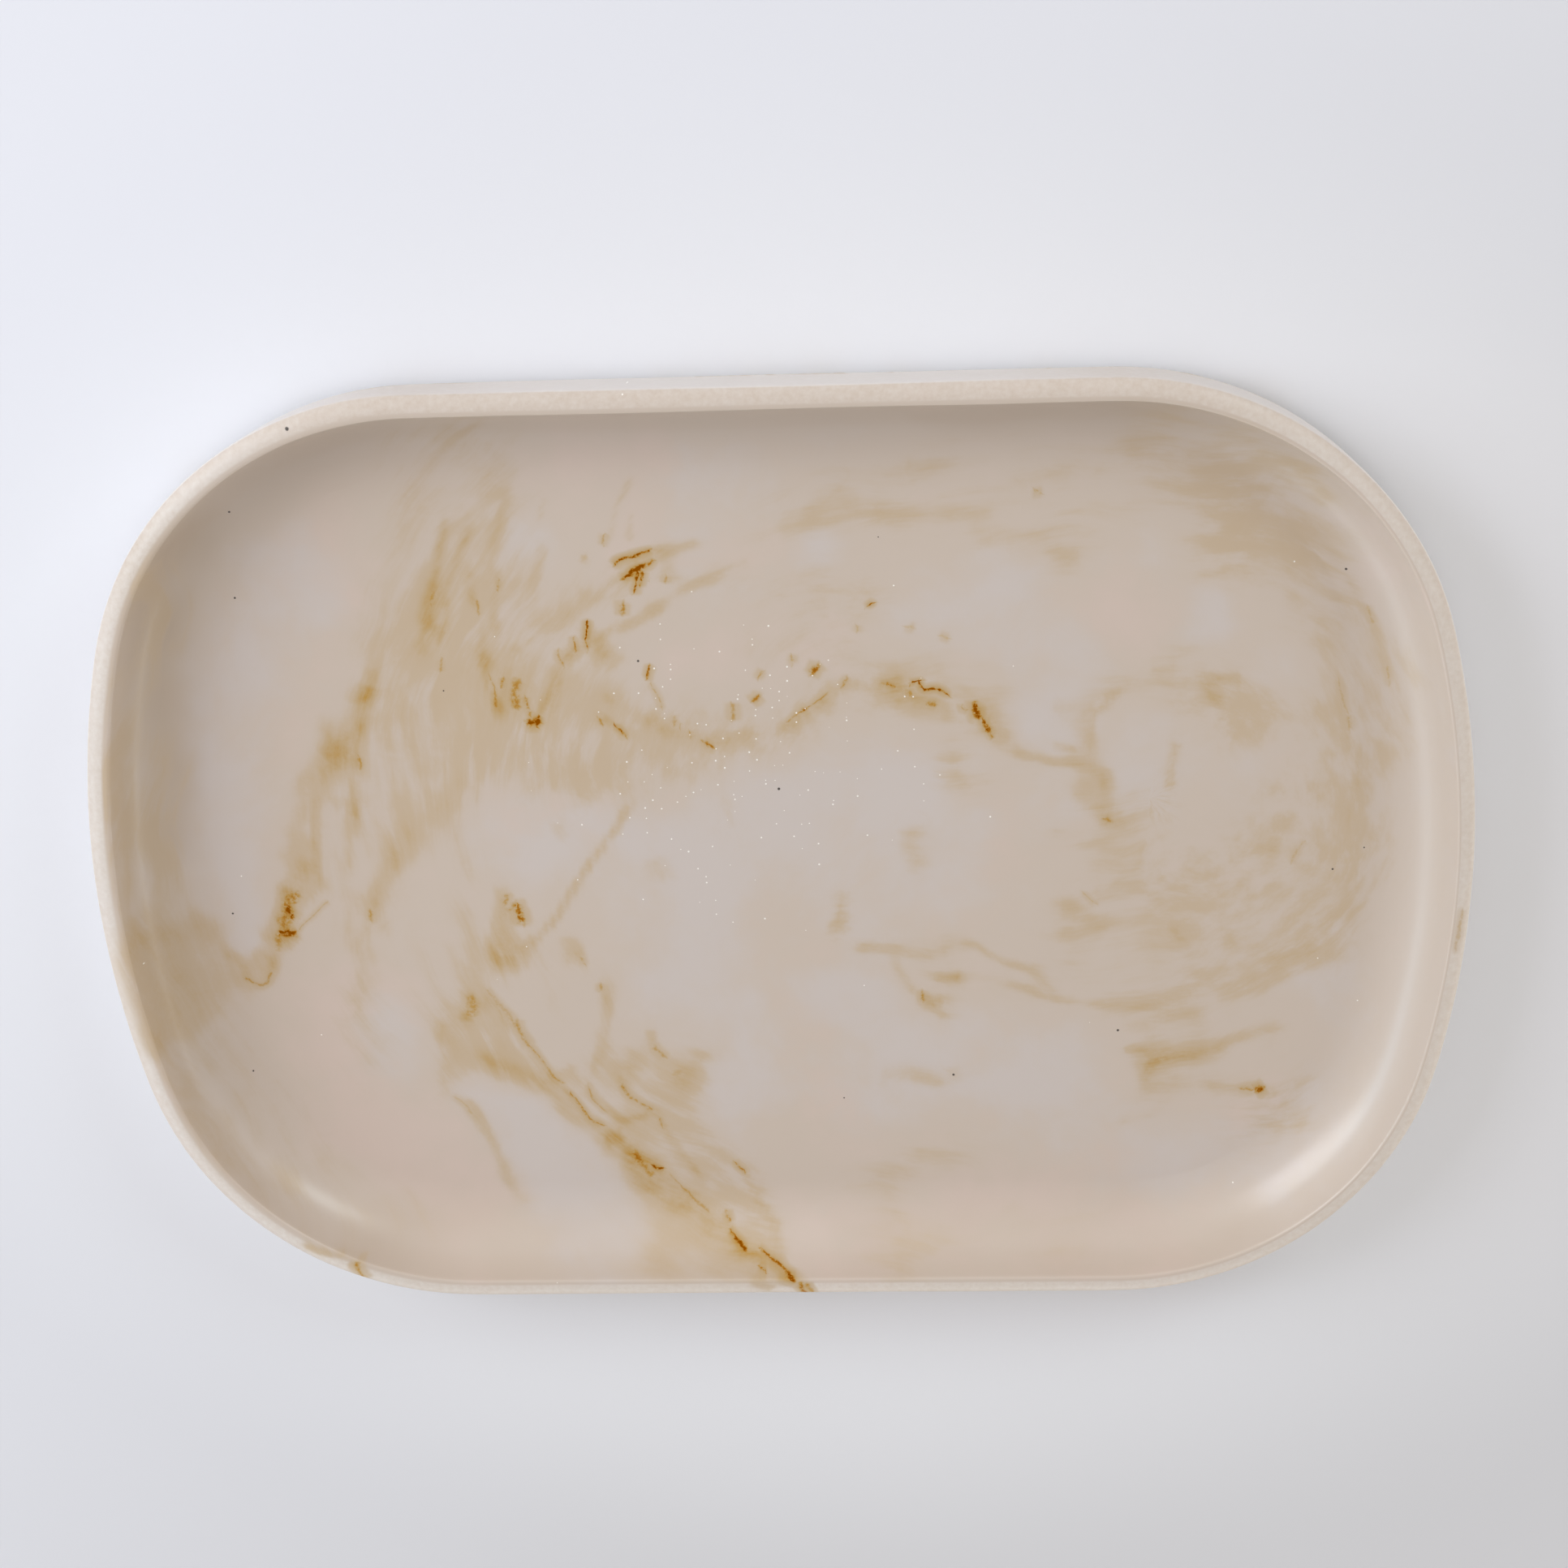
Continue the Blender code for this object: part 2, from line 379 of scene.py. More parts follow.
veils = {
    # each is (strength, softness of its edge, the places round it)
    "milk": [
        (0.6, 11.6, [-66,11, -45,9, -20,10, -2,18, 20,25, 42,20, 48,10, 66,14, 66,4, 54,-2, 48,-16, 36,-23,
            14,-24, -2,-16, -10,-24, -6,-42, 2,-58, -14,-68, -22,-48, -34,-34, -32,-18, -44,-4, -56,-11,
            -66,1]),
        (0.6, 11.6, [22,-46, 40,-42, 62,-43, 74,-52, 78,-66, 98,-66, 118,-58, 124,-66, 106,-84, 80,-89,
            58,-78, 40,-68, 18,-72, 10,-60]),
        (0.6, 10, [-131,2, -125,-24, -116,-24, -113,0, -111,26, -99,45, -91,60, -98,74, -113,66, -125,48,
            -131,26]),
        (0.6, 6.8, [-76,-60, -62,-60, -50,-72, -39,-80, -35,-98, -50,-101, -62,-92, -65,-80]),
        (0.56, 8.4, [26,50, 28,60, 42,64, 63,61, 70,48, 72,36, 66,24, 55,24, 53,42, 42,47]),
        (0.52, 5.2, [-93,-34, -86,-40, -84,-54, -90,-57, -94,-46]),
        (0.4, 6.8, [73,8, 74,26, 84,28, 93,20, 104,22, 115,17, 103,9, 90,12, 85,4]),
        (0.4, 5.2, [90,46, 92,56, 99,55, 99,46]), (0.36, 5.2, [103,33, 104,44, 112,44, 115,34]),
        (0.44, 5.2, [70,62, 72,68, 82,67, 79,62]), (0.36, 8.4, [-26,60, -8,56, -4,62, -20,70]),
        (0.32, 10, [-24,74, -22,92, -4,90, 12,90, 10,78, -8,76]), (0.72, 5.2, [8,65, 9,70, 13,70, 13,65]),
        (0.4, 6.8, [-58,66, -56,78, -46,76, -44,66]), (0.4, 5.2, [-98,8, -96,17, -92,14, -91,6, -94,1]),
        (0.36, 11.6, [114,-34, 122,-20, 130,-30, 132,-46, 122,-52]),
        (0.6, 6.8, [3,-30, 22,-30, 26,-42, 12,-46, 3,-40]), (0.4, 5.2, [-64,12, -57,11, -57,5, -63,5]),
    ],
    "blush": [
        (0.52, 11.6, [-112,-36, -98,-28, -84,-30, -86,-58, -76,-64, -66,-84, -80,-98, -98,-84, -110,-66]),
        (0.48, 11.6, [38,-88, 60,-82, 90,-88, 84,-100, 50,-100]),
        (0.2, 8.4, [-8,-24, 5,-24, 6,-38, 14,-52, -4,-50, -6,-36]),
        (0.32, 8.4, [8,-50, 14,-56, 18,-76, 10,-78, 6,-64]),
        (0.4, 8.4, [-104,20, -96,46, -90,60, -98,40, -108,30]),
        (0.4, 10, [-106,62, -98,78, -86,80, -84,66, -92,60]),
        (0.4, 8.4, [-30,62, 0,62, 8,68, -10,74, -28,72]), (0.4, 8.4, [68,50, 74,62, 90,58, 88,46, 78,44]),
        (0.48, 8.4, [98,-72, 104,-60, 118,-64, 116,-74]),
        (0.52, 8.4, [118,74, 126,74, 138,56, 134,50, 124,64]), (0.36, 6.8, [-66,4, -54,12, -38,10, -44,3]),
        (0.36, 10, [-26,44, 0,52, 18,48, 10,42, -12,40]), (0.32, 10, [-60,80, -40,96, -14,92, -26,80]),
        (0.4, 10, [0,-90, 20,-88, 38,-96, 20,-102, 2,-100]), (0.4, 5.2, [40,44, 48,46, 56,45, 50,42]),
    ],
    "sand": [
        (0.45, 10, [-143,-42, -134,-45, -128,-58, -116,-76, -104,-88, -106,-92, -122,-82, -137,-62]),
        (0.56, 10, [-66,13, -40,11, -20,12, -17,24, -26,31, -38,40, -45,46, -38,53, -28,61, -46,60, -52,68,
            -51,84, -54,98, -70,99, -81,94, -79,80, -85,66, -88,50, -89,34, -90,16, -92,4, -88,-6, -80,0,
            -73,8]),
        (0.4, 8.4, [-64,15, -40,13, -22,15, -20,24, -38,27, -42,38, -50,31, -58,40, -64,60, -76,58, -76,36,
            -70,22]),
        (0.3, 6.8, [-88,44, -90,34, -94,20, -98,10, -101,0, -103,-10, -100,-28, -96,-50, -92,-50, -93,-30,
            -92,-14, -98,-8, -96,4, -92,18, -88,30, -84,46]),
        (0.4, 5.2, [-75,10, -69,12, -68,-8, -69,-32, -72,-34, -74,-20, -73,0]),
        (0.35, 8.4, [-84,-20, -68,-22, -50,-24, -46,-34, -48,-43, -58,-34, -70,-37, -76,-52, -84,-50,
            -87,-36]),
        (0.9, 5.2, [-76,-42, -70,-36, -66,-41, -56,-56, -47,-66, -50,-70.5, -60,-59, -70,-54.5, -76,-57,
            -79,-62, -79,-50]),
        (0.7, 6.8, [-48,-59, -40,-52, -30,-57, -19,-53, -20,-62, -14,-75, -7,-88, -2,-100, -8,-101, -18,-97,
            -30,-80, -43,-71]),
        (0.22, 11.6, [-140,-38, -122,-33, -117,-46, -108,-60, -110,-76, -120,-80, -131,-70, -139,-52]),
        (0.22, 10, [-122,-74, -106,-76, -98,-82, -86,-88, -82,-101, -100,-98, -112,-90]),
        (0.35, 8.4, [-4,72, 10,77, 30,80, 48,77, 64,71, 68,62, 60,62, 52,67, 40,70, 20,70, 6,69]),
        (0.35, 11.6, [0,78, 20,86, 50,92, 84,96, 88,78, 72,70, 44,78, 20,78]),
        (0.35, 6.8, [-12,63, 2,67, 14,64, 30,60, 20,57, 2,56]),
        (0.3, 8.4, [-10,44, 0,57, 22,58, 22,50, 14,43]),
        (0.45, 6.8, [-36,36, -20,31, -8,27, 2,29, 12,36, 24,39, 40,38.5, 51,36, 51,26, 44,23, 34,28, 24,32,
            14,29, 4,23, -8,20.5, -22,24, -36,30]),
        (0.3, 8.4, [-36,40, -24,36, -10,34, 4,36, 20,42, 40,46, 50,40, 42,34, 20,35, 2,27, -20,28, -36,33]),
        (0.9, 5.2, [36,21, 41,21, 42,14, 46,13, 44,10, 39,11]), (0.4, 5.2, [-10,10, -8,5, -9,1, -12,6]),
        (0.5, 10, [64,-14, 69,-8, 72,1, 76,8, 84,9, 86,2, 96,0, 106,8, 113,14, 122,20, 135,22, 136,0,
            133,-14, 126,-24, 110,-33, 96,-42, 80,-47, 70,-42, 63,-34, 62,-22]),
        (0.5, 8.4, [70,32, 78,42, 92,43, 102,38, 110,30, 120,37, 134,42, 135,20, 122,22, 112,25, 100,22,
            94,27, 86,25, 80,32]),
        (0.62, 13.2, [84,99, 104,95, 119,81, 129,60, 133,42, 124,38, 117,50, 107,61, 94,61, 91,70, 87,80,
            82,90]),
        (0.38, 8.4, [94,78, 100,76, 114,60, 120,46, 116,46, 106,60, 92,64, 88,78]),
        (0.45, 5.2, [80,-50, 92,-50, 110,-46, 112,-49, 98,-53, 90,-57, 104,-60, 108,-64, 90,-63, 84,-67,
            76,-71, 80,-62, 79,-56, 75,-52]),
        (0.56, 10, [18,-82, 26,-75, 36,-74, 40,-80, 31,-84, 28,-90, 34,-101, 21,-105, 20,-94]),
        (0.25, 10, [40,-88, 60,-90, 80,-95, 74,-102, 44,-99]),
        (0.45, 5.2, [60,4, 68,0, 73,-3, 66,-5, 57,1]),
        (0.55, 4.4, [12,-12, 15,-12, 15,-20, 12,-23, 8,-22, 11,-18]), (0.4, 4.4, [45,0, 47,3, 48,-1]),
        (0.38, 6.8, [28,-29, 31,-42, 36,-45, 40,-36, 56,-40, 60,-36, 48,-31, 40,-24, 16,-25]),
        (0.45, 6.8, [96,28, 103,30, 104,25, 99,22]),
        # this sandy cloud on the left wall is partly painted shade, darkening and warming that wall
        (0.6, 8.4, [-147,74, -125,74, -129,40, -132,5, -134,-12, -148,-12]),
        (0.5, 10, [98,-72, 104,-60, 116,-56, 122,-62, 116,-74, 106,-78]),
        (0.35, 6.8, [104,12, 118,17, 116,12, 110,8]), (0.3, 10, [-104,-42, -100,-56, -90,-60, -96,-36]),
    ],
    # painted shade: darker, warmer bands on the left wall and along the near and far walls, where shade
    # falls
    "paintedShade": [
        (0.85, 6, [-138,62, -130,76, -117,81, -119,72, -125,60, -128,42, -129,22, -131,4, -136,2, -137,30]),
        (0.35, 6, [-96,-92, -60,-91, -40,-92, -40,-98, -96,-99]),
        (0.35, 6, [20,-92, 90,-91, 104,-86, 104,-92, 90,-98, 20,-99]),
        (0.45, 5.2, [40,99, 92,98, 92,94, 40,94]),
    ],
    "ochre": [
        (0.3, 6, [-42,-74, -37.5,-75, -31,-81, -22,-89, -15,-96, -6,-99.5, -3,-100.5, -10,-100.5,
            -33,-100.5, -33.5,-97, -34.5,-90, -37.5,-83]),
        (0.24, 6.8, [-36,-78, -30,-82, -22,-92, -14,-98, -18,-100, -29,-97, -33,-88]),
        (0.42, 4.88, [-147,-15, -138,-16, -130,-16.5, -127,-22, -122,-27, -122,-31, -127,-36, -132,-41,
            -139,-43, -144,-40]),
        (0.8, 4.56, [-102,17, -98.5,24, -99,29, -94,28, -89,31, -91,24, -91.5,20, -97,18]),
        (0.56, 2.32, [-62.5,-11, -60.5,-11.5, -59.5,-18, -58.8,-22.5, -54.5,-22, -55,-25, -58,-28, -63,-29,
            -66.5,-27.5, -67,-24, -65.3,-20, -63.5,-15]),
        (0.28, 4.88, [-31,-50, -27,-53, -22,-53, -16,-51, -20,-56, -24,-60, -29,-58]),
        (0.35, 4.4, [-39,-52, -34,-51, -33,-54, -37,-57]),
        (0.4, 4.4, [82,-52, 92,-52, 94,-54.5, 86,-57, 82,-60, 80.5,-56]),
        (0.3, 5.2, [-62,44, -57,41, -54,36, -50,33, -51,28, -56,31, -62,33]),
        (0.3, 5.2, [42,33, 46,30, 50,23, 47,22, 43,27]), (0.22, 5.2, [-79,-42, -76,-41, -75,-48, -78,-51]),
        (0.22, 5.2, [-70,-50, -64,-51, -62,-57, -67,-56]),
    ],
}

strokes = [
    # soft stains, each (half width to its left, to its right, strength, places along it)
    (3.2, 3.2, 0.35, [-38.5,-75.5, -32,-82]), (2.6, 2.6, 0.24, [-38,46, -33,43]),
    (2.6, 2.6, 0.2, [-28,-3, -25,-9]), (2.6, 2.6, 0.2, [-49,6, -47,1]),
    (2.2, 2.2, 0.24, [-36,-50, -36.5,-56]), (2.4, 2.4, 0.2, [63,-14, 64,-24]),
    (2.2, 2.2, 0.24, [-48,-22, -47,-30]), (2.2, 2.2, 0.22, [9,31, 12,33]), (2.2, 2.2, 0.22, [22,36, 27,35]),
    (3, 3, 0.22, [98,-39, 112,-33, 126,-27]), (3, 3, 0.2, [20,-58, 40,-57]),
    (2.6, 2.6, 0.12, [-64,-82, -61.5,-90]), (4, 4, 0.2, [29,4, 31,-8]), (3, 3, 0.22, [110,6, 109,-6]),
    (2.6, 2.6, 0.28, [-22,69, -21,60]), (3, 3, 0.24, [-91,13, -99,10]),
    (2.6, 2.6, 0.3, [-88.3,38.5, -90.8,33.5]), (2.8, 2.8, 0.3, [-100,22.5, -96,25, -92,28]),
    (2.2, 2.2, 0.28, [-95.5,21.5, -91.5,21]), (2.2, 2.2, 0.26, [-72,59, -74.5,52]),
    (2.5, 2.5, 0.2, [-82,38, -84,22]), (3, 3, 0.26, [-134,-18, -128,-20]), (2.5, 2.5, 0.26, [60,31, 70,30]),
    (2.4, 2.4, 0.3, [-108,-9, -105,-12]), (3, 3, 0.24, [112,84, 119,76]), (3, 3, 0.22, [111,-66, 118,-70]),
    (1.8, 1.8, 0.4, [-62.5,-43, -60,-49]), (2.2, 2.2, 0.4, [-50,-54.5, -46.5,-59.5]),
    (2.4, 2.4, 0.42, [-43.5,-77, -36.5,-77.5]), (3.5, 3, 0.2, [-95,-8, -96,-18, -95,-30, -96,-40]),
    (2.5, 2.5, 0.22, [66,8, 67,16, 68,24, 69,31]), (2.6, 2.6, 0.45, [-40.5,51, -39,47, -36.5,43]),
    (2.2, 2.2, 0.18, [-86.5,38, -89.5,33, -93,26]), (1.6, 1.6, 0.2, [-86.5,42, -89,34]),
    (3.4, 2.6, 0.3, [-100,22, -105,12, -108,2, -109,-8]), (1, 0.8, 0.35, [-101,14, -103.3,4, -103.5,-9]),
    (1.2, 1.2, 0.45, [-94.5,17, -94,11, -94.6,7]), (1.5, 1.5, 0.25, [-95,8, -96,0, -96,-5]),
    (2.6, 2.6, 0.35, [-105.5,-2, -107.5,-8]),
    (2.4, 2.8, 0.95, [-108.2,-9.5, -110,-13, -111.6,-18, -113.8,-23.5]),
    (1.3, 1.6, 0.42, [-114.5,-24, -116,-29, -118.5,-33, -122,-31.5, -123,-28, -127,-24]),
    (2.4, 1.6, 0.3, [-117,-24, -120,-28, -122,-30]), (4.6, 3, 0.17, [-66,16, -74,9, -82,2, -88,-5]),
    (3, 2.2, 0.28, [-83,1, -88,-5, -91,-11, -93,-18, -95,-24]),
    (0.9, 0.7, 0.4, [-91,-12, -92.5,-17, -94,-22]), (2.6, 2, 0.5, [-71,63, -72.5,56, -75,49, -77,46]),
    (1, 1, 0.3, [-71,62, -70,69, -68,77]), (1, 1, 0.35, [-69,60, -66,67, -62.5,74]),
    (0.9, 0.9, 0.45, [-69.2,59, -69.6,53, -71.5,47]), (1.5, 1.5, 0.22, [-60,62, -57,72, -54,84]),
    (1.3, 1.3, 0.2, [-50,56, -49,64, -47,70]),
    (1.2, 1.2, 0.4, [-62,52, -62.3,46, -61.5,40, -60.3,34, -60.3,30]),
    (0.9, 0.9, 0.35, [-57.5,63, -58.6,57, -59.2,50]), (1.1, 1.1, 0.3, [-63,56, -64,60, -63.5,64]),
    (1.3, 1, 0.42, [-52,30, -49,34.5, -46,39, -43,44, -39,48]),
    (0.8, 0.8, 0.3, [-57,44, -55.5,46.5, -53.5,45]),
    (1.6, 1.2, 0.44, [-46,41, -40,46, -34,50, -27,53, -22,56]),
    (1.3, 1, 0.22, [-26,54, -20,57.5, -12,61.5, -2,65]), (2, 1.5, 0.2, [-52,47, -44,53, -36,59, -29,63]),
    (1.6, 1.6, 0.3, [-30,61, -26,64.5, -20,67.5, -14,69]), (0.9, 0.9, 0.3, [-33,65, -28,67, -22,68.3]),
    (0.8, 0.8, 0.22, [-28,84, -31,78, -33,70]), (0.8, 0.8, 0.25, [-28,77, -29.5,70]),
    (0.9, 0.9, 0.25, [-46,80, -48,75]), (0.7, 0.7, 0.35, [-38.3,68, -38.6,65.5]),
    (1.3, 1, 0.38, [-38.5,30.5, -36,28.3, -33,26.5, -31,25]), (1.5, 1.5, 0.2, [-37,35, -34,33]),
    (1.8, 1.8, 0.26, [-30,31, -24,27.5, -16,25, -8,24.5, 0,26]), (1.5, 1.5, 0.34, [-10,26, -7,26, -4,27]),
    (1.8, 1.3, 0.38, [0,26, 5,29, 9,32, 14,35.3, 20,37]),
    (2.2, 2.4, 0.58, [22.5,35.5, 26,36, 30,34, 34,31.8, 37,31]), (1.3, 1.3, 0.3, [38,31, 38,27.5]),
    (2.6, 2.2, 0.42, [43.5,33, 46,29, 48,25, 50,22]), (1.4, 1, 0.42, [51,19.6, 58,18.3, 65,17.2, 70,16]),
    (2.2, 1.9, 0.46, [70,16, 71.3,11, 70.8,7, 72,3.5]), (0.9, 0.9, 0.2, [71.5,4.6, 74,4, 77,4]),
    (0.9, 0.9, 0.2, [60,22, 66,21]), (1.1, 1.1, 0.24, [68.7,20, 69.3,28, 71.5,31, 75,34.5]),
    (2, 2.6, 0.12, [6,74, 16,75, 28,75.5, 42,75, 50,71.5, 58,69.5]),
    (2.2, 2.2, 0.26, [59,65, 64,63.5, 67,64]), (1, 1, 0.18, [122,60, 126,54, 128.5,48, 130.5,42, 132.3,34]),
    (1, 1, 0.16, [121.5,37, 122.8,30, 124,23, 126,12, 124,0]), (1.8, 1.4, 0.34, [92.5,37, 94,33, 97,30]),
    (1.4, 1.4, 0.3, [94,36, 98,36.5, 101,36]), (1.6, 1.6, 0.26, [87,22, 86.3,16, 87,11]),
    (2.5, 2.5, 0.2, [82,40, 88,39]), (1.2, 1.2, 0.2, [15,-26, 24,-26.5, 31,-28, 38,-26]),
    (1.1, 1.1, 0.34, [39,-25.5, 43,-25.5, 46,-28.3, 51,-30.5, 57,-31.5]),
    (1.2, 0.9, 0.28, [48,-35, 56,-37, 63,-39.5, 72,-40.7, 82,-40.5, 91,-39]),
    (1, 1, 0.25, [52,-31, 57,-34, 61,-38]), (1.3, 1.3, 0.36, [33,-33, 36,-33.6, 40,-33.3]),
    (1.2, 1.2, 0.45, [31,-37, 31.5,-39.3, 35,-38.7]), (1, 1, 0.25, [32,-39.5, 34,-42, 35.5,-45]),
    (1.1, 1.1, 0.25, [25,-29, 26.5,-33, 29,-37]), (1.6, 1.6, 0.25, [13.5,-14, 13,-18, 10,-22]),
    (1.7, 1.2, 0.36, [84,-53.5, 92,-53, 99,-50.5, 106,-48.3, 112,-47.5]),
    (1.2, 1.2, 0.35, [80.8,-59.5, 82,-56, 84,-54]), (1.1, 1.1, 0.36, [76,-53, 78,-52, 82,-53]),
    (1.2, 1.2, 0.3, [94,-61.5, 100,-62, 108,-62]), (1.8, 1.8, 0.16, [74,-71, 83,-67, 88,-63]),
    (1.5, 1.5, 0.2, [74,-47, 84,-45, 95,-43.5]), (1.1, 1.1, 0.26, [86,-21.5, 87.5,-24, 90,-26]),
    (1.6, 1.6, 0.22, [97,-21, 99,-26]), (2.6, 2.6, 0.24, [106,-31, 114,-28, 121,-21, 127,-15]),
    (2, 2, 0.2, [62,-14, 67,-18, 72,-22]), (1.2, 0.8, 0.42, [-59.5,-26, -57,-24, -54,-22.3]),
    (1, 1, 0.36, [-54.5,-22.5, -51.5,-19, -48,-13, -44.5,-7.5, -41,-3, -36,4, -31,10]),
    (1.6, 1.8, 0.55, [-70.8,-35, -71.2,-39, -72.6,-43]), (1.3, 1.3, 0.3, [-77.5,-43, -78,-49]),
    (1, 2.4, 0.4, [-67.5,-34.5, -62,-43, -58,-50, -53.5,-57, -50,-59]),
    (1.6, 1.6, 0.26, [-71,-51, -66,-54, -60,-56.5, -53,-63, -48,-69]),
    (1.4, 1.6, 0.42, [-50.5,-60, -48,-65, -45.5,-68.7, -42.5,-70]),
    (1, 1, 0.3, [-46,-58, -44.5,-62, -41,-67, -37,-68.3, -31,-66]), (2.6, 2.2, 0.62, [-43,-74.5, -38,-73]),
    (2.4, 3, 0.5, [-37,-76, -35,-79.5, -32,-84, -31,-88]),
    (1.4, 2.4, 0.4, [-36,-78, -29,-83, -24,-88, -19,-92.5, -14,-97]), (2, 2, 0.3, [-30,-90, -24,-91]),
    (1.4, 1.4, 0.6, [-15.5,-92, -14,-96, -10,-99, -4,-100.5, 2,-103]),
    (1.8, 1.8, 0.55, [2.6,-103, 3.8,-107]), (1.6, 1.6, 0.3, [-9,-101.5, -5,-105]),
    (0.8, 1.2, 0.36, [-38.5,-58, -37,-62, -33.5,-64.7, -30.5,-67, -29,-71, -25,-77, -20.5,-84]),
    (1.3, 1.3, 0.28, [-30.8,-45, -30.4,-49, -28,-53]),
    (1.5, 1.5, 0.34, [-40.5,-30, -40.5,-43, -42.5,-50, -45,-57]),
    (1.1, 1.1, 0.26, [-46,-26, -45,-29, -43.5,-31]),
    (1.1, 1.1, 0.28, [-14,-79, -10.5,-85, -6.5,-92, -2.5,-99]),
    (1.5, 1.5, 0.3, [-77,-62, -73.5,-65, -70.5,-71.5, -67,-79, -64,-87]),
    (1.2, 1.2, 0.4, [-100.5,-96, -99.5,-99, -98.7,-102]), (1.3, 1.3, 0.34, [-102,-95, -107,-94, -113,-92]),
]

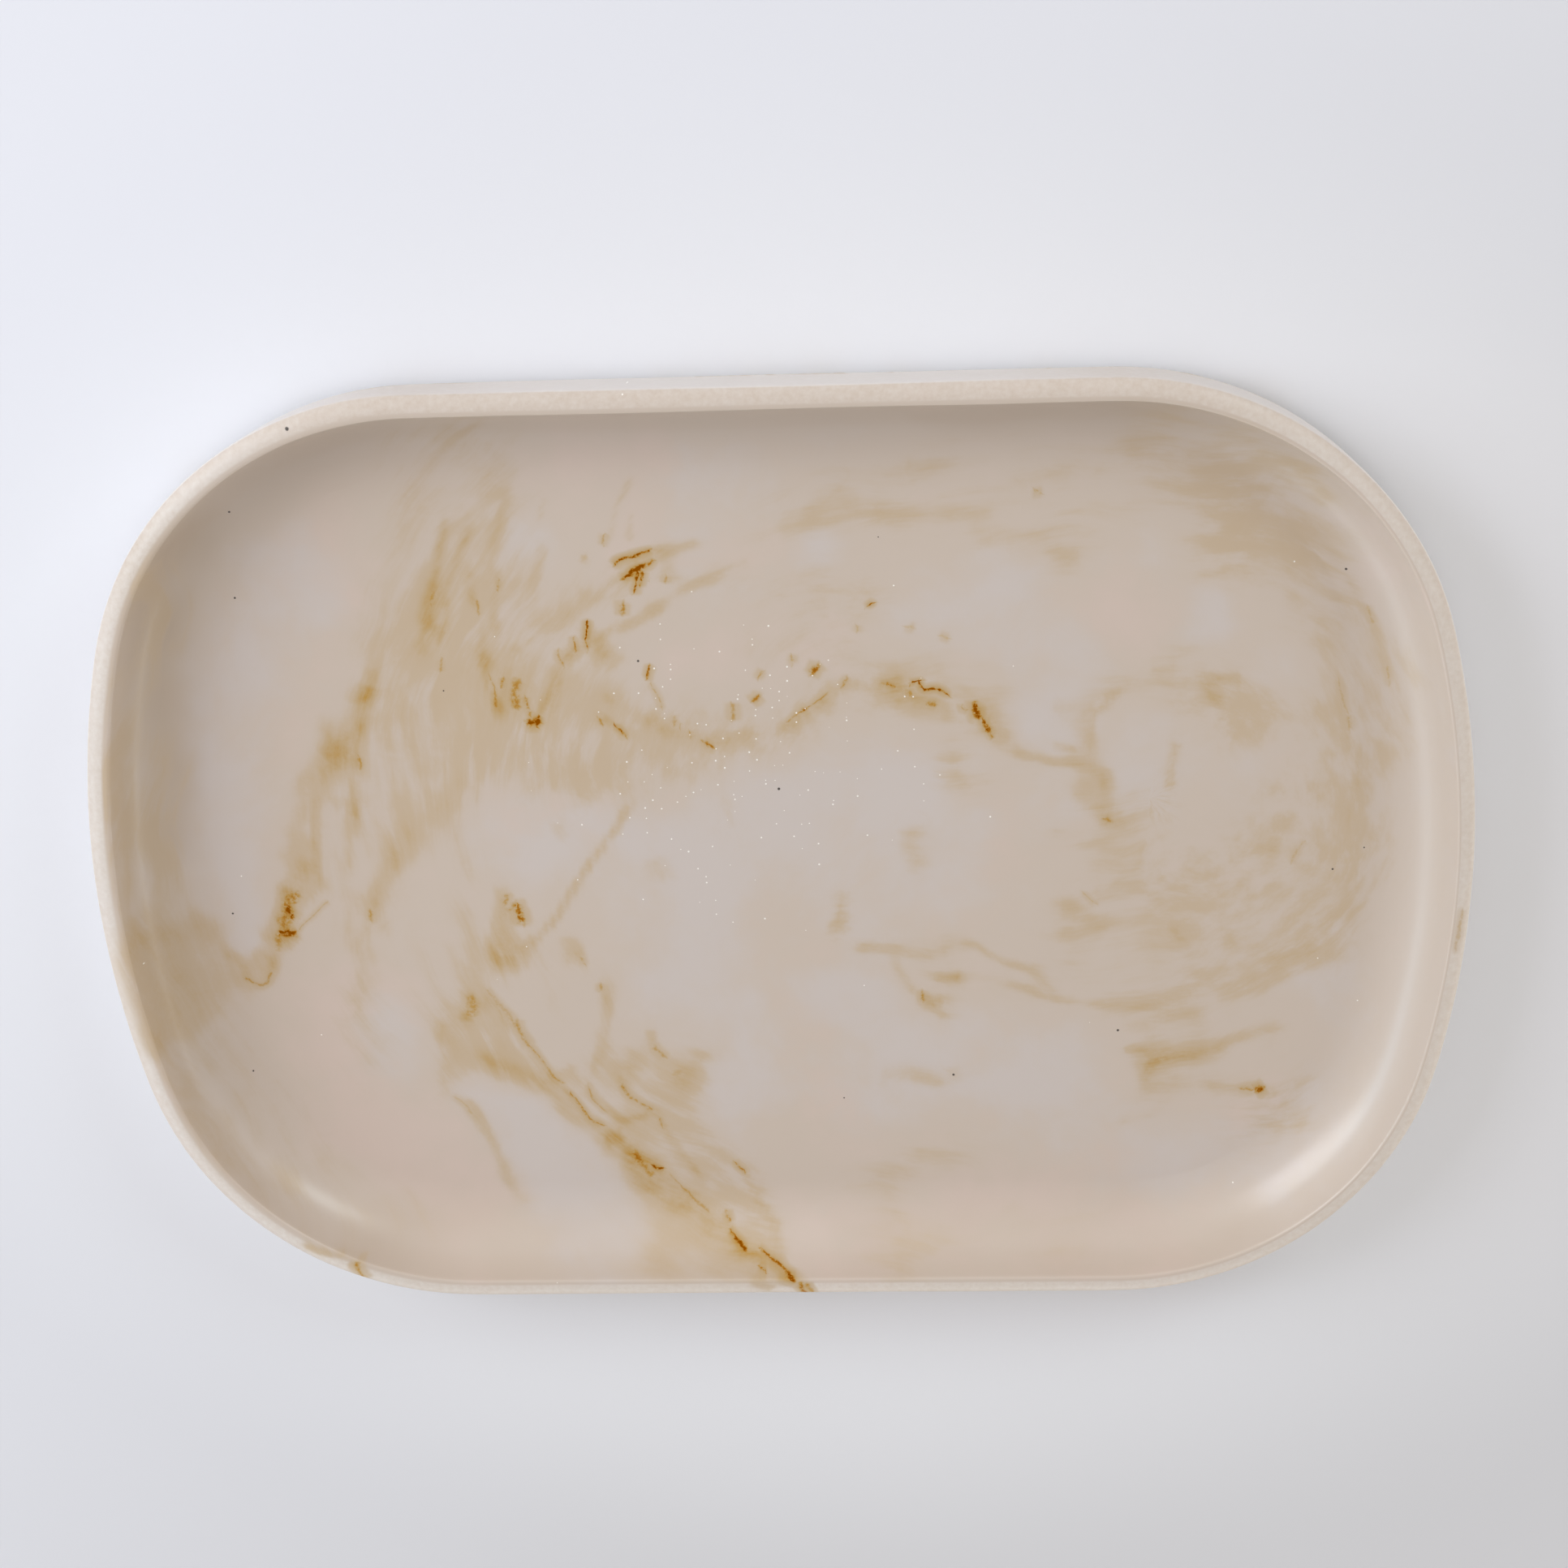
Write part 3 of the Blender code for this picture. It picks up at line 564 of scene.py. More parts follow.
flecks = [
    # crisp marks and threads, each (half width, strength, places along it)
    (2.2, 0.44, [-109,-11, -110.8,-15, -112,-20.5]), (1.1, 0.35, [-108.2,-10.4, -109.6,-12.8]),
    (0.8, 0.85, [-110.9,-13.2, -109.8,-16.4]), (1, 0.75, [-109.8,-19.9, -111.2,-20.2, -113,-20.4]),
    (0.9, 0.4, [-112,-16.5, -113.2,-19.5, -114,-24]), (0.24, 0.38, [-109,-19.5, -105,-15.6, -101.5,-12.8]),
    (0.6, 0.45, [-92.4,-15, -92.2,-17.8]),
    (0.35, 0.45, [-122.3,-31.2, -119.5,-33, -117.5,-32.6, -116.3,-30]),
    (0.5, 0.45, [-92,22, -91.3,20.5, -91.5,19.3]), (1.2, 1, [-53.2,29.4, -51.3,29.2]),
    (0.6, 0.9, [-51.2,30.6, -51.2,28.4]), (0.45, 0.6, [-53.7,35.2, -53.2,32.8, -52.6,31]),
    (1.1, 0.54, [-55,39, -56,36.5, -55.6,33]), (0.4, 0.42, [-61.3,40.5, -60.5,37.5, -60.3,33]),
    (0.5, 0.6, [-58.3,39.5, -59,37.7]), (0.45, 0.42, [-62.6,57.5, -62.4,54.6]),
    (0.7, 0.32, [-71.8,60, -72.4,56.5]), (0.4, 0.45, [-71.4,44.3, -71.6,41.8]),
    (0.4, 0.5, [-57.8,62, -58.1,60]), (0.35, 0.98, [-39.1,52.2, -39.3,50, -39.8,48]),
    (0.3, 0.6, [-39.9,48, -39.3,46]), (0.28, 0.65, [-42.4,48.5, -42.1,45.6]),
    (0.4, 0.5, [-45.8,45.6, -45.7,44, -45,42.4]), (0.35, 0.9, [-32.6,65, -30,66.1, -27,67.2, -24.5,67.8]),
    (0.55, 0.98, [-31,61.6, -29,63.1, -27,64.3]), (0.5, 0.7, [-27,64.2, -24,65.6]),
    (0.35, 0.9, [-27.4,63.2, -28,61, -28.5,58.6]), (0.3, 0.75, [-26.5,63, -27.2,60]),
    (0.7, 0.75, [-31.2,56.1, -31.5,54]), (0.35, 0.5, [-34.2,71.6, -34.7,69.4]),
    (0.35, 0.5, [-21.6,62, -21.8,60.8]), (0.35, 0.95, [-26.1,41.7, -26.9,39.2]),
    (0.22, 0.45, [-26.3,38, -25,35, -24,32]), (0.4, 0.5, [-21.3,29.6, -21.8,28.2]),
    (0.4, 0.85, [-34.5,28.2, -33.4,26.9, -32.4,25.5]), (0.45, 0.5, [-38.2,30.2, -37.3,28.2]),
    (0.45, 0.7, [-15.4,24.3, -14.3,23.4, -13.2,22.5]), (0.3, 0.45, [-18.1,26.6, -17.8,25.4]),
    (0.8, 0.55, [-8.6,32.6, -8.5,29.4]), (0.6, 0.75, [-2.5,34.4, -4.1,33.1]),
    (0.45, 0.6, [-1.7,40.2, -2.8,38.8]), (0.45, 0.5, [4.5,43.4, 4.8,42]), (0.85, 0.85, [10.3,41.1, 9,39.2]),
    (0.4, 0.5, [16.5,38, 15.2,35.9]), (0.24, 1, [22.7,55.2, 22,55, 21.1,54.2]),
    (0.4, 0.35, [19,49.8, 19.1,48.6]), (0.4, 0.45, [29.8,49.6, 31.2,49.2]),
    (0.4, 0.4, [36.8,47.6, 38.4,46.8]), (0.3, 0.45, [3.5,28.5, 7,31.2, 12,34.6]),
    (0.5, 0.55, [6.3,30.8, 7.5,31.6]), (0.5, 0.58, [24,36.8, 27,36.2]), (0.6, 0.5, [29.4,34.9, 30.3,33.8]),
    (0.7, 0.5, [33.5,32.1, 35.2,31.6]), (0.26, 1, [29.9,36.8, 31.2,37.1, 33,37.4]),
    (0.32, 1, [31.9,36.7, 32.8,35.2, 35,35.4, 36.6,35, 38.1,33.7]),
    (0.22, 0.6, [40.9,31.7, 40.8,30.5, 42.2,30.2]), (1.15, 1, [44.1,31.5, 44,30.2, 44.3,28.6]),
    (0.45, 0.95, [45.5,28.2, 46,26.8, 46.5,25.2]), (0.6, 0.6, [46.8,26.5, 47.5,24]),
    (0.5, 0.5, [57.3,79.2, 58.3,78.7]), (0.7, 0.5, [71.6,4.8, 72.8,3.8]),
    (0.4, 0.32, [127,52.5, 128.3,48.5]), (0.45, 0.34, [131.6,39, 132.3,35]),
    (0.35, 0.28, [121.6,36, 122.6,31, 123.8,28]), (0.7, 0.36, [123.9,27, 124.1,24.4]),
    (0.3, 0.28, [115.2,-1.6, 113.6,-4, 112.7,-7]), (0.25, 0.34, [66.8,-13, 68,-14.3, 69.8,-16]),
    (0.9, 0.85, [107.3,-61.8, 105.9,-62.7]), (0.5, 0.45, [102,-62, 105,-62.4]),
    (1.25, 0.85, [-59.4,-14.2, -58.4,-16, -58.2,-18.4]), (0.5, 0.5, [-61,-11.5, -61.8,-14]),
    (1.5, 0.38, [-70.8,-36.5, -71.4,-41]), (0.8, 0.44, [-61.3,-43.2, -60.4,-46, -58.8,-49]),
    (0.5, 0.32, [-67.4,-34.8, -64.5,-39, -61.8,-43]),
    (0.3, 0.4, [-58.6,-49, -56,-52.8, -53.3,-57.3, -51,-58.8]),
    (0.32, 0.5, [-50,-61, -47.6,-65, -45.4,-68.5, -43,-69.8]), (0.3, 0.5, [-48.6,-64, -46.5,-67.5]),
    (0.3, 0.4, [-46,-59, -45,-62.5, -42,-66.5]), (1.1, 0.45, [-36.3,-76.6, -34.8,-79.4, -32.3,-82.6]),
    (0.38, 0.85, [-32.4,-80.2, -30.8,-81, -29.7,-81]),
    (0.3, 0.38, [-28.4,-82.8, -25,-86.6, -22,-89.6, -19.5,-91.8]), (0.5, 0.72, [-15.5,-91.8, -14.8,-93.8]),
    (0.4, 0.85, [-14.8,-95.6, -13,-97.1, -11,-98.6]),
    (0.28, 0.72, [-8,-98.7, -4.5,-100, -1.5,-101.3, 0.6,-102.3]), (0.22, 0.75, [-8,-101, -6,-101.4]),
    (0.5, 0.6, [2,-102.8, 2.2,-105, 3,-107]), (0.5, 0.5, [3.4,-103.2, 4.2,-105, 4.6,-107]),
    (0.35, 0.62, [-13.2,-79.4, -10.8,-82.4]), (0.6, 0.45, [-30.2,-49.8, -28,-52.6]),
    (0.4, 0.5, [-38,-59.5, -36.8,-62, -33.8,-64.4, -31.3,-65.6]), (0.35, 0.4, [-30,-68, -29.4,-70.5]),
    (0.4, 0.42, [-45.4,-27.3, -44.6,-29.3]), (0.38, 0.5, [-41.4,-33.8, -41.6,-35.6]),
    (0.4, 0.5, [31,-36.8, 31.3,-39.3]), (0.4, 0.3, [147.6,-12, 146.8,-19, 146.4,-22]),
    (0.9, 0.6, [-100.2,-96.8, -99.6,-99, -98.8,-101]), (0.9, 0.28, [-26,-56.5, -24.5,-56]),
    (0.3, 0.25, [-77,-61.8, -74.5,-64, -73,-66.5]),
]

# Dark pits, each (x, y, radius)
pits = [
    (-113.6, 79.4, 0.25), (-115.2, 59.2, 0.25), (0.7, 12.7, 0.35), (37.6, -57.7, 0.3), (12.6, -63.3, 0.2),
    (-123.5, -15.2, 0.25), (-122.8, -54.6, 0.25), (-71.5, 37, 0.2), (24, 69.7, 0.15), (122.4, 60.6, 0.3),
    (121.5, -8.4, 0.25), (74.7, -47, 0.3), (-28.6, 43, 0.3), (128.2, -3.4, 0.2), (-96.8, 100.2, 0.45),
]

marbling = {
    "veilWander": [(20 * mm, 3.0 * mm), (6 * mm, 1.2 * mm)],     # sizes of the wander, and how far it goes
    "strokeWander": [(11 * mm, 1.1 * mm), (3.5 * mm, 0.35 * mm)],
    "fleckWander": [(3.5 * mm, 0.35 * mm)],
    "unevenness": 0.55,          # how much the strokes swell and fade along the way
    "unevennessSize": 5 * mm,
    "veilUnevenness": 0.5,
    "veilUnevennessSize": 14 * mm,
    "strokeReach": 2.2,          # a stroke is painted out to this many half widths
    "strokeEnds": (5, 0.35),     # how fast it fades towards its ends, and the strength left there
    "fleckLayers": 4,
    "fleckReach": 4.0,           # all in millimetres: how far from a fleck its offset is kept,
    "fleckMargin": 1.2,          # and how far beyond its edge its strength
    "fleckFade": 0.7,
    "fleckEnds": (0.8, 0.4),     # it fades out over this share of its half width, plus millimetres
    "unpaintedWidth": 0.3,       # the half width where there is no fleck
}


def smoothLine(places, closed=False, steps=6):
    # A smooth curve through the places
    p = np.array(places, float).reshape(-1, 2)
    p = np.concatenate([p[-1:], p, p[:2]] if closed else [p[:1], p, p[-1:]])
    t = np.arange(steps)[:, None] / steps
    parts = [
        0.5 * (2 * b + t * (c - a + t * (2 * a - 5 * b + 4 * c - d + t * (3 * b - a - 3 * c + d))))
        for a, b, c, d in zip(p, p[1:], p[2:], p[3:])
    ]
    return np.concatenate(parts + [p[-2:-1]])


def alongLine(places, line):
    # For each place: how far it is from the line, on which side, the share of the line before it,
    # and how far beyond the line's ends it lies
    steps = line[1:] - line[:-1]
    lengths = np.maximum(np.hypot(*steps.T), 1e-6)
    before = np.concatenate([[0], np.cumsum(lengths)])
    distance = np.full(len(places), np.inf)
    side = np.ones(len(places))
    share = np.zeros(len(places))
    beyond = np.zeros(len(places))
    for start, step, length, done in zip(line, steps, lengths, before):
        offset = places - start
        reached = (offset @ step) / length ** 2
        along = np.clip(reached, 0, 1)
        away = np.hypot(*(offset - along[:, None] * step).T)
        closer = away < distance
        distance[closer] = away[closer]
        side[closer] = np.where(step[0] * offset[closer, 1] > step[1] * offset[closer, 0], 1, -1)
        share[closer] = (done + along[closer] * length) / before[-1]
        beyond[closer] = np.abs(reached - along)[closer] * length
    return distance, side, share, beyond


def insideLoop(places, loop):
    # Whether each place lies inside the closed curve
    inside = np.zeros(len(places), bool)
    for (x1, y1), (x2, y2) in zip(loop[:-1], loop[1:]):
        if y1 != y2:
            spans = (y1 > places[:, 1]) != (y2 > places[:, 1])
            inside ^= spans & (places[:, 0] < x1 + (places[:, 1] - y1) * (x2 - x1) / (y2 - y1))
    return inside


def wandered(mesh, wander):
    # Each vertex seen from above, in millimetres, moved about a little so that no edge is too even
    moved = []
    for vert in mesh.vertices:
        place = vert.co.copy()
        for size, reach in wander:
            place += noise.noise_vector(vert.co / size) * reach
        moved.append((place.x / mm, place.y / mm))
    return np.array(moved)


def swelling(mesh, amount, size):
    return 1 + amount * np.array([noise.noise(vert.co / size) for vert in mesh.vertices])


def near(places, line, reach):
    return np.nonzero(((places > line.min(0) - reach) & (places < line.max(0) + reach)).all(1))[0]


def smoothStep(value):
    value = np.clip(value, 0, 1)
    return value * value * (3 - 2 * value)


def paintMarblingAndShade(obj, look):
    mesh = obj.data
    count = len(mesh.vertices)
    fields = {name: np.zeros(count) for name in veils}

    def stain(name, chosen, amount):
        fields[name][chosen] = 1 - (1 - fields[name][chosen]) * (1 - np.clip(amount, 0, 1))

    places = wandered(mesh, look["veilWander"])
    uneven = swelling(mesh, look["veilUnevenness"], look["veilUnevennessSize"])
    for name, areas in veils.items():
        for strength, softness, outline in areas:
            loop = smoothLine(outline, closed=True)
            chosen = near(places, loop, softness)
            distance = alongLine(places[chosen], loop)[0]
            distance[~insideLoop(places[chosen], loop)] *= -1
            stain(name, chosen, strength * uneven[chosen] * smoothStep(0.5 + 0.5 * distance / softness))

    places = wandered(mesh, look["strokeWander"])
    uneven = swelling(mesh, look["unevenness"], look["unevennessSize"])
    fadeRate, endStrength = look["strokeEnds"]
    for left, right, strength, points in strokes:
        line = smoothLine(points)
        chosen = near(places, line, look["strokeReach"] * max(left, right))
        distance, side, share, beyond = alongLine(places[chosen], line)
        away = distance / (np.where(side > 0, left, right) * uneven[chosen])
        fade = smoothStep(fadeRate * np.minimum(share, 1 - share) + endStrength)
        stain("ochre", chosen, strength * fade * np.exp(-away ** 2) * uneven[chosen])

    # Each layer keeps its points' signed offset from the nearest fleck, so that the material draws
    # the flecks crisp. Neighbours in the table lie in different layers and don't disturb each other
    places = wandered(mesh, look["fleckWander"])
    reach = look["fleckReach"]
    endShare, endMargin = look["fleckEnds"]
    layers = {}
    for layer in range(look["fleckLayers"]):
        offset, nearest = np.full(count, reach), np.full(count, reach)
        halfWidth, strengths = np.full(count, look["unpaintedWidth"]), np.zeros(count)
        for width, strength, points in flecks[layer::look["fleckLayers"]]:
            line = smoothLine(points)
            chosen = near(places, line, reach + width)
            distance, side, share, beyond = alongLine(places[chosen], line)
            closer = distance - width < nearest[chosen]
            chosen, distance, side, beyond = chosen[closer], distance[closer], side[closer], beyond[closer]
            nearest[chosen] = distance - width
            offset[chosen] = distance * side
            halfWidth[chosen] = width * uneven[chosen]
            fade = np.clip((width + look["fleckMargin"] - distance) / look["fleckFade"] + 1, 0, 1)
            ends = smoothStep(1 - beyond / (endShare * width + endMargin))
            strengths[chosen] = strength * fade * ends
        layers["flecks%d" % layer] = (offset, halfWidth, strengths)

    # The rim and the outside face away from the middle. They were sanded, and they are painted paler,
    # partly for the sanding and partly as painted light and painted reflection
    facingOut = np.array([max(0, v.normal.xy @ v.co.xy.normalized()) for v in mesh.vertices])

    # The stains attribute holds the stains, how far each point faces out, and the painted shade
    for name, columns in {
        "clouds": (fields["milk"], fields["blush"], fields["sand"]),
        "stains": (fields["ochre"], facingOut, fields["paintedShade"]),
        **layers,
    }.items():
        attribute = mesh.attributes.new(name, "FLOAT_VECTOR", "POINT")
        attribute.data.foreach_set("vector", np.stack(columns, 1).astype(np.float32).ravel())
    print("marbling painted on", count, "points")


resin = {
    "base": srgb(197, 183, 170),
    "milk": srgb(198, 188, 182),
    "blush": srgb(202, 185, 174),
    # the colour of the painted shade on the walls
    "paintedShade": srgb(185, 168, 150),
    # the pale rim, sanded, and paler still away from the far side as painted light
    "rim": srgb(218, 212, 206),
    # the outer wall's painted reflection and light from the pale floor
    "outside": srgb(224, 222, 222),
    "stains": [                  # the colours of more and more pigment
        (0.00, srgb(195, 179, 161)), (0.25, srgb(191, 171, 145)), (0.45, srgb(186, 160, 120)),
        (0.65, srgb(181, 143, 74)), (0.82, srgb(168, 110, 20)), (1.00, srgb(138, 74, 0)),
    ],
    "pit": srgb(60, 50, 42),
    "speck": srgb(242, 238, 233),
    "stirStart": (25 * mm, 6 * mm, 0),    # the resin was stirred round the line between these two
    "stirEnd": (85 * mm, 6 * mm, 0),
    "driftSize": 50 * mm,
    "drift": 22 * mm,
    "streakTurns": 4.5,
    "streakLength": 22 * mm,
    "streakWidth": 3.4 * mm,
    # noises that follow the stirring, and finer ones that don't, each (size, detail, roughness)
    "stirredNoises": {"cloudy": (32 * mm, 5.0, 0.55), "mottled": (9 * mm, 4.0, 0.55)},
    "fineNoises": {"speckled": (0.9 * mm, 3.0, 0.6), "ragged": (1.3 * mm, 3.0, 0.6)},
    # how much of each noise goes into the clouds and the stains
    "blushNoise": {"cloudy": 0.9, "mottled": -0.8},
    "milkNoise": {"cloudy": -0.9, "mottled": 0.9},
    "sandFeather": {"streaked": 2.2, "mottled": 0.8},
    "sandNoise": {"streaked": 0.5, "mottled": 0.38, "under": 0.25},
    "ochreFeather": {"streaked": 1.6, "mottled": 0.9, "ragged": 0.5},
    "roughNoise": {"mottled": 0.10, "ragged": 0.08},
    # where the clouds set in and where they are full
    "blushRange": (0.0, 0.75),
    "milkRange": (0.05, 0.75),
    # where the surface counts as sanded, as level on top of the rim, and as the outer wall
    "sandedRange": (0.0, 0.15),
    "levelRange": (0.33, 0.6),
    "outsideRange": (0.7, 0.95),
    "rimPaleness": (0.9, 0.2),        # raggedness of the rim's sanding, and how pale it is
    "nearRimLight": (90 * mm, 103 * mm, 0.3),     # painted light on the rim: the third is added up to the first, fading by the second
    # how far the outer wall goes towards its painted reflection of the pale floor
    "outsideReflection": 0.5,
    "sandedSand": -0.7,          # sanding takes this much of the sandy clouds away
    "outsideOchre": -0.65,       # and of the stains on the outer wall
    "underVein": (0.03, 0.4),    # half width and strength of the veins under the tray
    "sandPigment": 0.22,
    "ochrePigment": 0.58,
    "pigmentUnderFlecks": 0.6,
    "pigmentFull": 0.2,          # more pigment than this hides the clouds
    # a fleck's halo and core: how far each reaches, in its own widths, and its strength
    "halo": (2.8, 0.40),
    "core": (1.25, 0.64),
    "haloWidth": (1.4, 0.35),    # as a share of the fleck's half width, plus millimetres
    "raggedness": (2.2, 0.25),   # the same
    "breaks": (4.5, 0.78),       # how hard its speckled breaks are, and how much is left whole
    "mottledBreaks": 1.4,
    "pitEdge": (0.6, 1.2),       # from full to nothing, in radii
    "pitRaggedness": 0.8,
    "underHeight": 6 * mm,       # the painted marbling gives way to noise below this height
    "speckSpacing": 1.8 * mm,
    "speckMiddle": (-6 * mm, 21 * mm, 0),
    "speckSpread": 52 * mm,
    "speckDensity": (0.80, 0.999),        # the share of cells without one, in the middle and far out
    "speckSize": (0.07, 0.05),   # how much the sizes vary, and the least, in cells
    "slowBump": (14 * mm, 2.0, 0.35, 0.15 * mm),     # size, detail, strength and depth
    "fineBump": (0.5 * mm, 2.0, 0.25, 0.02 * mm),
    "roughness": 0.36,
    "sandedRoughness": 0.14,     # added where it is sanded
    "ior": 1.5,
    "specular": 0.5,
    "coat": 0.5,
    "sandedCoat": -0.4,
    "coatRoughness": 0.24,
}


def streakNoise(place, look):
    # Noise drawn out along the way the resin was stirred
    stir = vectorCalc("MAXIMUM", place, look["stirStart"])
    stir = vectorCalc("MINIMUM", stir, look["stirEnd"])
    away = vectorCalc("SUBTRACT", place, stir)
    away = vectorCalc("MULTIPLY", away, (1, 1, 0))
    turn = scaled(vectorCalc("NORMALIZE", away), look["streakTurns"])
    along = scaled(stir, 1 / look["streakLength"])
    across = calc("DIVIDE", lengthOf(away), look["streakWidth"])
    across = addNode("CombineXYZ", {2: across}).outputs[0]
    vector = vectorCalc("ADD", vectorCalc("ADD", turn, along), across)
    return noiseAt(vector, 1.0, 4.0, 0.6)


def resinNoises(place, look):
    drift = noiseAt(place, look["driftSize"], 2.0, output="Color")
    drift = scaled(vectorCalc("SUBTRACT", drift, (0.5, 0.5, 0.5)), look["drift"])
    stirred = vectorCalc("ADD", place, drift)
    noises = {"streaked": centred(streakNoise(stirred, look))}
    for kinds, vector in (("stirredNoises", stirred), ("fineNoises", place)):
        for name, values in look[kinds].items():
            noises[name] = centred(noiseAt(vector, *values))
    # Nothing listed is painted under the tray, so the streaks and clouds do the marbling alone there
    height = separate(place)["Z"]
    noises["under"] = smoothRange(height, bodyLow.z + look["underHeight"], bodyLow.z)
    return noises


def withNoise(value, noises, shares):
    for name, share in shares.items():
        value = calc("MULTIPLY_ADD", noises[name], share, value)
    return value


def fleckPigment(layer, noises, look):
    # A fleck is a ragged, broken core in a soft halo, drawn from each point's offset to its middle line
    offset, halfWidth, strength = painted(layer)
    reach = calc("MULTIPLY_ADD", halfWidth, *look["haloWidth"])
    halo = calc("DIVIDE", calc("ABSOLUTE", offset), reach)
    halo = fadeOut(halo, 0.0, *look["halo"])
    ragging = calc("MULTIPLY_ADD", halfWidth, *look["raggedness"])
    offset = calc("MULTIPLY_ADD", noises["ragged"], ragging, offset)
    core = calc("DIVIDE", calc("ABSOLUTE", offset), halfWidth)
    core = fadeOut(core, 0.0, *look["core"])
    broken = calc("MULTIPLY_ADD", noises["speckled"], *look["breaks"])
    broken = calc("MULTIPLY_ADD", noises["mottled"], look["mottledBreaks"], broken, clamp=True)
    core = calc("MULTIPLY", core, broken)
    return calc("MULTIPLY", calc("ADD", halo, core), strength)


def resinMaterial(look):
    material, shader = startMaterial("marbled_resin")
    place = addNode("TexCoord").outputs["Object"]
    noises = resinNoises(place, look)
    ragged = noises["ragged"]

    # Milky, pinkish and sandy clouds
    milk, blush, sand = painted("clouds")
    blush = withNoise(blush, noises, look["blushNoise"])
    color = blendColors(smoothRange(blush, *look["blushRange"]), look["base"], look["blush"])
    milk = withNoise(milk, noises, look["milkNoise"])
    color = blendColors(smoothRange(milk, *look["milkRange"]), color, look["milk"])
    feather = withNoise(1.0, noises, look["sandFeather"])
    sand = withNoise(calc("MULTIPLY", sand, feather), noises, look["sandNoise"])

    # The rim is painted pale for its sanding and scuffs, and the outer wall paler still as painted
    # reflection and light from the pale floor
    ochre, facingOut, paintedShade = painted("stains")
    # Painted shade darkens and warms the walls where shade falls
    color = blendColors(paintedShade, color, look["paintedShade"])
    level = fadeOut(facingOut, *look["levelRange"])
    outside = smoothRange(facingOut, *look["outsideRange"])
    facingOut = smoothRange(facingOut, *look["sandedRange"])
    sand = calc("MULTIPLY", sand, calc("MULTIPLY_ADD", facingOut, look["sandedSand"], 1.0))
    rimPaleness = calc("MULTIPLY_ADD", ragged, *look["rimPaleness"])
    # Painted light: the top of the rim is paler away from the far side
    nearSideLight = fadeOut(separate(place)["Y"], *look["nearRimLight"])
    rimPaleness = calc("MULTIPLY_ADD", nearSideLight, level, rimPaleness)
    color = blendColors(calc("MULTIPLY", facingOut, rimPaleness), color, look["rim"])
    # Painted reflection and light on the outer wall
    color = blendColors(calc("MULTIPLY", outside, look["outsideReflection"]), color, look["outside"])

    # Stains feather out along the streaks; veins of the same kind run under the tray
    feather = withNoise(1.0, noises, look["ochreFeather"])
    ochre = calc("MULTIPLY", ochre, feather)
    ochre = calc("MULTIPLY", ochre, calc("MULTIPLY_ADD", outside, look["outsideOchre"], 1.0))
    vein = calc("ABSOLUTE", noises["cloudy"])
    vein = calc("MULTIPLY", fadeOut(vein, 0.0, *look["underVein"]), noises["under"])
    ochre = calc("MULTIPLY_ADD", vein, feather, ochre)
    pigment = smoothRange(sand, 0.0, 1.0, 0.0, look["sandPigment"])
    pigment = calc("MULTIPLY_ADD", ochre, look["ochrePigment"], pigment)
    for layer in range(marbling["fleckLayers"]):
        inside = fleckPigment("flecks%d" % layer, noises, look)
        inside = calc("MULTIPLY_ADD", pigment, look["pigmentUnderFlecks"], inside)
        pigment = calc("MAXIMUM", pigment, inside)
    ramp = addNode("ValToRGB", {0: pigment})
    stops = ramp.color_ramp.elements
    stops[0].position, stops[0].color = look["stains"][0]
    stops[1].position, stops[1].color = look["stains"][-1]
    for position, tone in look["stains"][1:-1]:
        stops.new(position).color = tone
    color = blendColors(smoothRange(pigment, 0.0, look["pigmentFull"]), color, ramp.outputs[0])

    # A few dark pits, and pale specks that lie thickest in the middle
    flat = vectorCalc("MULTIPLY", place, (1, 1, 0))
    full, gone = look["pitEdge"]
    for x, y, size in pits:
        toPit = lengthOf(vectorCalc("SUBTRACT", flat, (x * mm, y * mm, 0)))
        edge = calc("MULTIPLY_ADD", ragged, look["pitRaggedness"] * size * mm, toPit)
        dark = fadeOut(edge, full * size * mm, gone * size * mm)
        color = blendColors(dark, color, look["pit"])
    cells = {"Vector": flat, "Scale": 1 / look["speckSpacing"]}
    cells = addNode("TexVoronoi", cells, voronoi_dimensions="2D").outputs
    kept = separate(cells["Color"])
    toMiddle = lengthOf(vectorCalc("SUBTRACT", flat, look["speckMiddle"]))
    density = smoothRange(toMiddle, 0.0, look["speckSpread"], *look["speckDensity"])
    size = calc("MULTIPLY_ADD", kept["Y"], *look["speckSize"])
    size = calc("MULTIPLY", calc("GREATER_THAN", kept["X"], density), size)
    speck = calc("LESS_THAN", cells["Distance"], size)
    color = blendColors(speck, color, look["speck"])

    # Sanding marks too fine to see singly, over a slow unevenness
    slow = addBump(place, *look["slowBump"])
    fine = addBump(place, *look["fineBump"], over=slow)

    # Sanded resin is rough and has little gloss, and pigment has none
    rough = withNoise(look["roughness"], noises, look["roughNoise"])
    dull = calc("SUBTRACT", 1.0, pigment, clamp=True)
    coat = calc("MULTIPLY_ADD", facingOut, look["sandedCoat"], look["coat"])
    setInputs(shader, {
        "Base Color": color,
        "Roughness": calc("MULTIPLY_ADD", facingOut, look["sandedRoughness"], rough),
        "IOR": look["ior"],
        "Specular IOR Level": calc("MULTIPLY", dull, look["specular"]),
        "Coat Weight": calc("MULTIPLY", coat, dull),
        "Coat Roughness": look["coatRoughness"],
        "Normal": fine,
    })
    print("resin mixed:", len(nodeTree.nodes), "nodes")
    return material


tray = modelTray(trayShape)
paintMarblingAndShade(tray, marbling)
tray.data.materials.clear()
tray.data.materials.append(resinMaterial(resin))
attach(tray, "root")
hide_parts("tray_body")


# The pads

